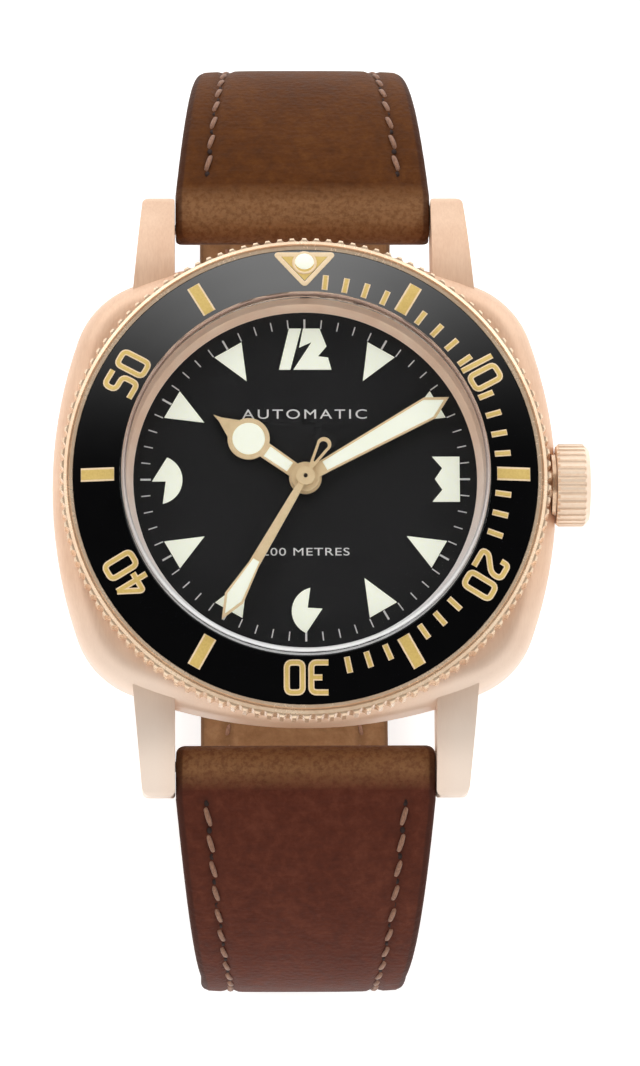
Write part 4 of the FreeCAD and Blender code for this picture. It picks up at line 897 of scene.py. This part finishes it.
def digit(value):
    """Strokes of a blocky numeral as (points, closed) lists."""
    w, h = DIGIT_HALF, DIGIT_TALL
    strokes = {
        "0": [([(-w, -h), (w, -h), (w, h), (-w, h)], True)],
        "1": [([(0, -h - STROKE / 2), (0, h + STROKE / 2)], False)],
        "2": [([(-w, h * 0.45), (-w, h), (w, h), (w, h * 0.25), (-w, -h * 0.55), (-w, -h), (w + 0.2, -h)],
               False)],
        "3": [([(-w - 0.1, h), (w, h), (w, -h), (-w - 0.1, -h)], False), ([(-w * 0.4, 0), (w, 0)], False)],
        "4": [([(w * 0.45, h + 0.1), (-w, -h * 0.3), (-w, -h * 0.45), (w + 0.25, -h * 0.45)], False),
              ([(w * 0.45, h + 0.1), (w * 0.45, -h - STROKE / 2)], False)],
        "5": [([(w + 0.1, h), (-w, h), (-w, h * 0.15), (w, h * 0.15), (w, -h), (-w - 0.1, -h)], False)],
    }
    return strokes[value]


def numeral(text, stroke, rise):
    """A two-digit number, centred."""
    widths = [STROKE if mark == "1" else 2 * DIGIT_HALF + STROKE for mark in text]
    gap = 0.2
    left, parts = -(sum(widths) + gap * (len(text) - 1)) / 2, []
    for mark, width in zip(text, widths):
        centre = left + width / 2
        for line, closed in digit(mark):
            moved = [(x + centre, y) for x, y in rounded(line, 0.42, closed)]
            parts.append(ribbon(moved, stroke, closed, rise, 0.04))
        left += width + gap
    return merge(parts)


def bar(width, low, high, rise):
    """A straight raised bar between two radii."""
    steps = 3
    return ribbon([(0, low + (high - low) * i / steps) for i in range(steps + 1)], width, False, rise)


def make_bezel_marks():
    """Numerals, bars and ticks, each gold on a paler rim, and the triangle round the pip."""
    numbers, bars, rims, ticks = [], [], [], []
    for minute in range(10, 60, 10):
        rims.append(on_insert(numeral(str(minute), STROKE, MARK_RISE * 0.6), minute * 6, NUMERAL_R))
        numbers.append(on_insert(numeral(str(minute), STROKE - 0.18, MARK_RISE), minute * 6, NUMERAL_R))
    for minute in range(5, 60, 10):
        rims.append(on_insert(bar(1.05, BAR_IN, BAR_OUT, MARK_RISE * 0.6), minute * 6, 0))
        bars.append(on_insert(bar(0.8, BAR_IN + 0.03, BAR_OUT - 0.03, MARK_RISE), minute * 6, 0))
    shown = [m for m in range(1, LAST_TICK + 1) if m % 5 and m not in HIDDEN_TICKS]
    for minute in shown:
        rims.append(on_insert(bar(0.46, TICK_IN, TICK_OUT, MARK_RISE * 0.6), minute * 6, 0))
        ticks.append(on_insert(bar(0.3, TICK_IN + 0.05, TICK_OUT - 0.05, MARK_RISE), minute * 6, 0))
    base, low, high = TRIANGLE_HALF, TRIANGLE_IN, TRIANGLE_OUT
    arms = rounded([(-base, high), (base, high), (0, low)], 0.2, True)
    triangle = on_insert(ribbon(arms, 0.36, True, MARK_RISE), 0, 0)
    inner = [(-base + 0.35, high - 0.1), (base - 0.35, high - 0.1), (0.0, low + 0.35)]
    fill = [(x, y, MARK_RISE * 0.45) for x, y in inner] + [(x, y, 0.0) for x, y in inner]
    fill_faces = [(0, 1, 2), (3, 5, 4), (0, 3, 4, 1), (1, 4, 5, 2), (2, 5, 3, 0)]
    ring = on_insert(ribbon(circle(PIP_R + 0.1, 40, (0.0, PIP_Y)), 0.2, True, MARK_RISE * 2, 0.05), 0, 0)
    piece("bezel_numerals", *merge(numbers), gold_ink, "bezel", "gilt", False)
    piece("bezel_bars", *merge(bars), gold_ink, "bezel", "gilt", False)
    piece("bezel_mark_rims", *merge(rims), gold_rim, "bezel", "gilt", False)
    piece("bezel_ticks", *merge(ticks), gold_ink, "bezel", "gilt", False)
    piece("bezel_triangle", *merge([triangle, ring]), gold_rim, "bezel", "gilt", False)
    piece("bezel_triangle_fill", *on_insert((fill, fill_faces), 0, 0), gold_ink, "bezel", "gilt", False)


def make_dial_track():
    """Printed minute track and its stronger five-minute marks."""
    rise, parts = 0.02, []
    for minute in range(60):
        strong = minute % 5 == 0
        line = ribbon([(0, TRACK_IN - (0.1 if strong else 0)), (0, TRACK_OUT)], 0.15 if strong else 0.09,
                      False, rise, 0.02)
        turn = turned_by(minute * 6)
        parts.append(([tuple(turn @ Vector((x, y, DIAL_TOP + height))) for x, y, height in line[0]], line[1]))
    piece("minute_track", *merge(parts), white_print, "case", "lume", False)


def dial_word(name, text, spacing, width, height, y):
    """A line of plain generic lettering, printed on the dial."""
    curve = bpy.data.curves.new(name, "FONT")
    curve.body = text
    curve.size = MM
    curve.space_character = spacing
    curve.align_x, curve.align_y = "CENTER", "CENTER"
    curve.extrude = 0.01 * MM
    flat = bpy.data.objects.new(name + "_curve", curve)
    scene.collection.objects.link(flat)
    bpy.context.view_layer.update()
    mesh = bpy.data.meshes.new_from_object(flat.evaluated_get(bpy.context.evaluated_depsgraph_get()))
    bpy.data.objects.remove(flat)
    bpy.data.curves.remove(curve)
    across = max(v.co.x for v in mesh.vertices) - min(v.co.x for v in mesh.vertices)
    tall = max(v.co.y for v in mesh.vertices) - min(v.co.y for v in mesh.vertices)
    mesh.transform(Matrix.Diagonal((width * MM / across, height * MM / tall, 1, 1)))
    mesh.transform(Matrix.Translation((0, y * MM, (DIAL_TOP + 0.012) * MM)))
    mesh.name = name
    mesh.materials.clear()
    mesh.materials.append(white_print)
    obj = bpy.data.objects.new(name, mesh)
    scene.collection.objects.link(obj)
    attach(obj, "case")


def hoop(profile):
    """Points and faces of a ring about the watch's axis with that (radius, height) section."""
    count = 180
    points = [(r * math.cos(a), r * math.sin(a), z) for a in (math.tau * k / count for k in range(count))
              for r, z in profile]
    size = len(profile)
    faces = [(k * size + i, k * size + (i + 1) % size, (k + 1) % count * size + (i + 1) % size,
              (k + 1) % count * size + i) for k in range(count) for i in range(size)]
    return points, faces


def make_crystal_edge():
    """The polished bevel round the crystal's foot, coloured as a painted reflection, brown-rose above and near
    white towards 6 o'clock, and the black seal between it and the insert.
    """
    bevel = ((14.0, 11.0), (14.0, 11.24), (13.86, 11.4), (13.76, 11.4), (13.76, 11.0))
    seal = ((14.24, 9.75), (14.24, 10.13), (14.18, 10.17), (14.12, 10.13), (14.12, 9.75))
    piece("crystal_edge", *hoop(bevel), painted_bevel_reflection, "case", "steel", False)
    piece("insert_seal", *hoop(seal), rubber, "bezel", "rubber_seal", False)


# ---- hands ----

def slab(outline, low, high):
    """A flat filling with a slightly domed top, from an outline."""
    dome, inset = 0.04, 0.06
    middle = Vector((sum(x for x, _ in outline), sum(y for _, y in outline))) / len(outline)
    inner = []
    for x, y in outline:
        to_middle = middle - Vector((x, y))
        shift = to_middle.normalized() * min(inset, to_middle.length * 0.4)
        inner.append((x + shift.x, y + shift.y))
    return loft([[(x, y, low) for x, y in outline], [(x, y, high) for x, y in outline],
                 [(x, y, high + dome) for x, y in inner]])


def make_hand_lume():
    """Luminous fillings of the three hands, and the pin at their centre."""
    disc = circle(1.25, 48, (0.0, 5.32))
    shaft = [(-0.41, 1.45), (0.41, 1.45), (0.46, 3.6), (-0.46, 3.6)]
    blade = [(0.38, 1.7), (0.76, 10.9), (0, 12.25), (-0.76, 10.9), (-0.38, 1.7)]
    dart = [(0.26, 7.6), (0.62, 10.95), (0, 12.4), (-0.62, 10.95), (-0.26, 7.6)]
    fillings = (("hour_hand_lume", "hour", HOUR_ANGLE, 8.45, 8.6, [disc, shaft]),
                ("minute_hand_lume", "minute", MINUTE_ANGLE, 8.84, 8.98, [blade]),
                ("seconds_hand_lume", "seconds", SECONDS_ANGLE, 9.23, 9.34, [dart]))
    for name, body, angle, low, high, outlines in fillings:
        turn = turned_by(angle)
        points, faces = merge([slab(outline, low, high) for outline in outlines])
        piece(name, [tuple(turn @ Vector(p)) for p in points], faces, lume, body, "lume", False)
    rings = [[(x, y, z) for x, y in circle(r, 24)] for r, z in ((0.16, 9.4), (0.16, 9.49), (0.1, 9.52))]
    piece("seconds_hand_pin", *loft(rings), dark_pin, "seconds", "steel")


# ---- stage, light and camera ----

def make_stage():
    """A pale matt floor just under the watch."""
    size, ground = 0.6, cad_low.z - 0.0002
    mesh = bpy.data.meshes.new("floor")
    mesh.from_pydata([(x * size, y * size, ground) for x, y in ((-1, -1), (1, -1), (1, 1), (-1, 1))], [],
                     [(0, 1, 2, 3)])
    made, tree, shader = new_material("pale_floor", {"Roughness": 0.9, "Emission Color": (1, 1, 1, 1),
                                                     "Emission Strength": 0.4})
    tint = noise(tree, place(tree), 0.02, 3.0)
    tree.links.new(ramp(tree, tint, [(0.3, (0.93, 0.93, 0.93, 1)), (0.7, (0.96, 0.96, 0.96, 1))]),
                   shader.inputs["Base Color"])
    mesh.materials.append(made)
    obj = bpy.data.objects.new("floor", mesh)
    scene.collection.objects.link(obj)


def make_light():
    """An even white surround with a dark flag above the dial, and two soft boxes beyond 12 o'clock."""
    world = bpy.data.worlds.new("studio")
    scene.world = world
    world.use_nodes = True
    tree = world.node_tree
    tree.nodes.clear()
    direction = node(tree, "TexCoord").outputs["Generated"]
    lean = math.sin(math.radians(2))
    flag = Vector((lean, -lean, 1.0)).normalized()
    facing = node(tree, "VectorMath", {0: direction, 1: flag}, operation="DOT_PRODUCT").outputs["Value"]
    away = math_node(tree, "ARCCOSINE", facing)
    rise = spread(tree, away, 0.0, 1.0, math.radians(22), math.radians(36.2))
    fall = spread(tree, away, 1.34, 0.84, math.radians(48), math.radians(92))
    level = math_node(tree, "MULTIPLY_ADD", math_node(tree, "POWER", rise, 5.0), fall, 0.018)
    back = node(tree, "Background", {"Color": (1.0, 0.995, 0.985, 1.0), "Strength": level})
    out = node(tree, "OutputWorld")
    tree.links.new(back.outputs[0], out.inputs["Surface"])
    for index, (x, y, z) in enumerate(((-0.25, 0.42, 0.22), (0.3, 0.4, 0.22))):
        data = bpy.data.lights.new(f"soft_box_{index}", "AREA")
        data.energy, data.size = 0.4, 0.3
        lamp = bpy.data.objects.new(f"soft_box_{index}", data)
        lamp.location = (x, y, z)
        lamp.rotation_euler = (-Vector((x, y, z))).to_track_quat("-Z", "Y").to_euler()
        scene.collection.objects.link(lamp)
    scene.view_settings.view_transform = "Standard"


def make_camera():
    """The photo's view: 0.4 m away, tilted back 12 degrees, with a long lens."""
    tilt, swing, roll = math.radians(11.92), math.radians(1.31), math.radians(-0.374)
    away, target = 0.4, Vector((1.196, -3.347, 4.0)) * MM
    back = Vector((-math.sin(swing) * math.cos(tilt), -math.sin(tilt), math.cos(tilt) * math.cos(swing)))
    back.normalize()
    right = Vector((0, 1, 0)).cross(back).normalized()
    up = back.cross(right)
    right, up = (right * math.cos(roll) + up * math.sin(roll), up * math.cos(roll) - right * math.sin(roll))
    data = bpy.data.cameras.new("camera")
    data.sensor_width, data.lens = 36.0, 174.3
    data.clip_start = 0.01
    camera = bpy.data.objects.new("camera", data)
    turn = Matrix((right, up, back)).transposed().to_4x4()
    camera.matrix_world = Matrix.Translation(target + back * away) @ turn
    scene.collection.objects.link(camera)
    scene.camera = camera


finish_cad_nodes()
make_strap()
make_bezel_marks()
make_dial_track()
dial_word("dial_word_automatic", "AUTOMATIC", 1.25, 9.6, 0.74, 5.1)
dial_word("dial_word_depth", "200 METRES", 1.1, 6.7, 0.6, -5.7)
make_crystal_edge()
make_hand_lume()
make_stage()
make_light()
make_camera()
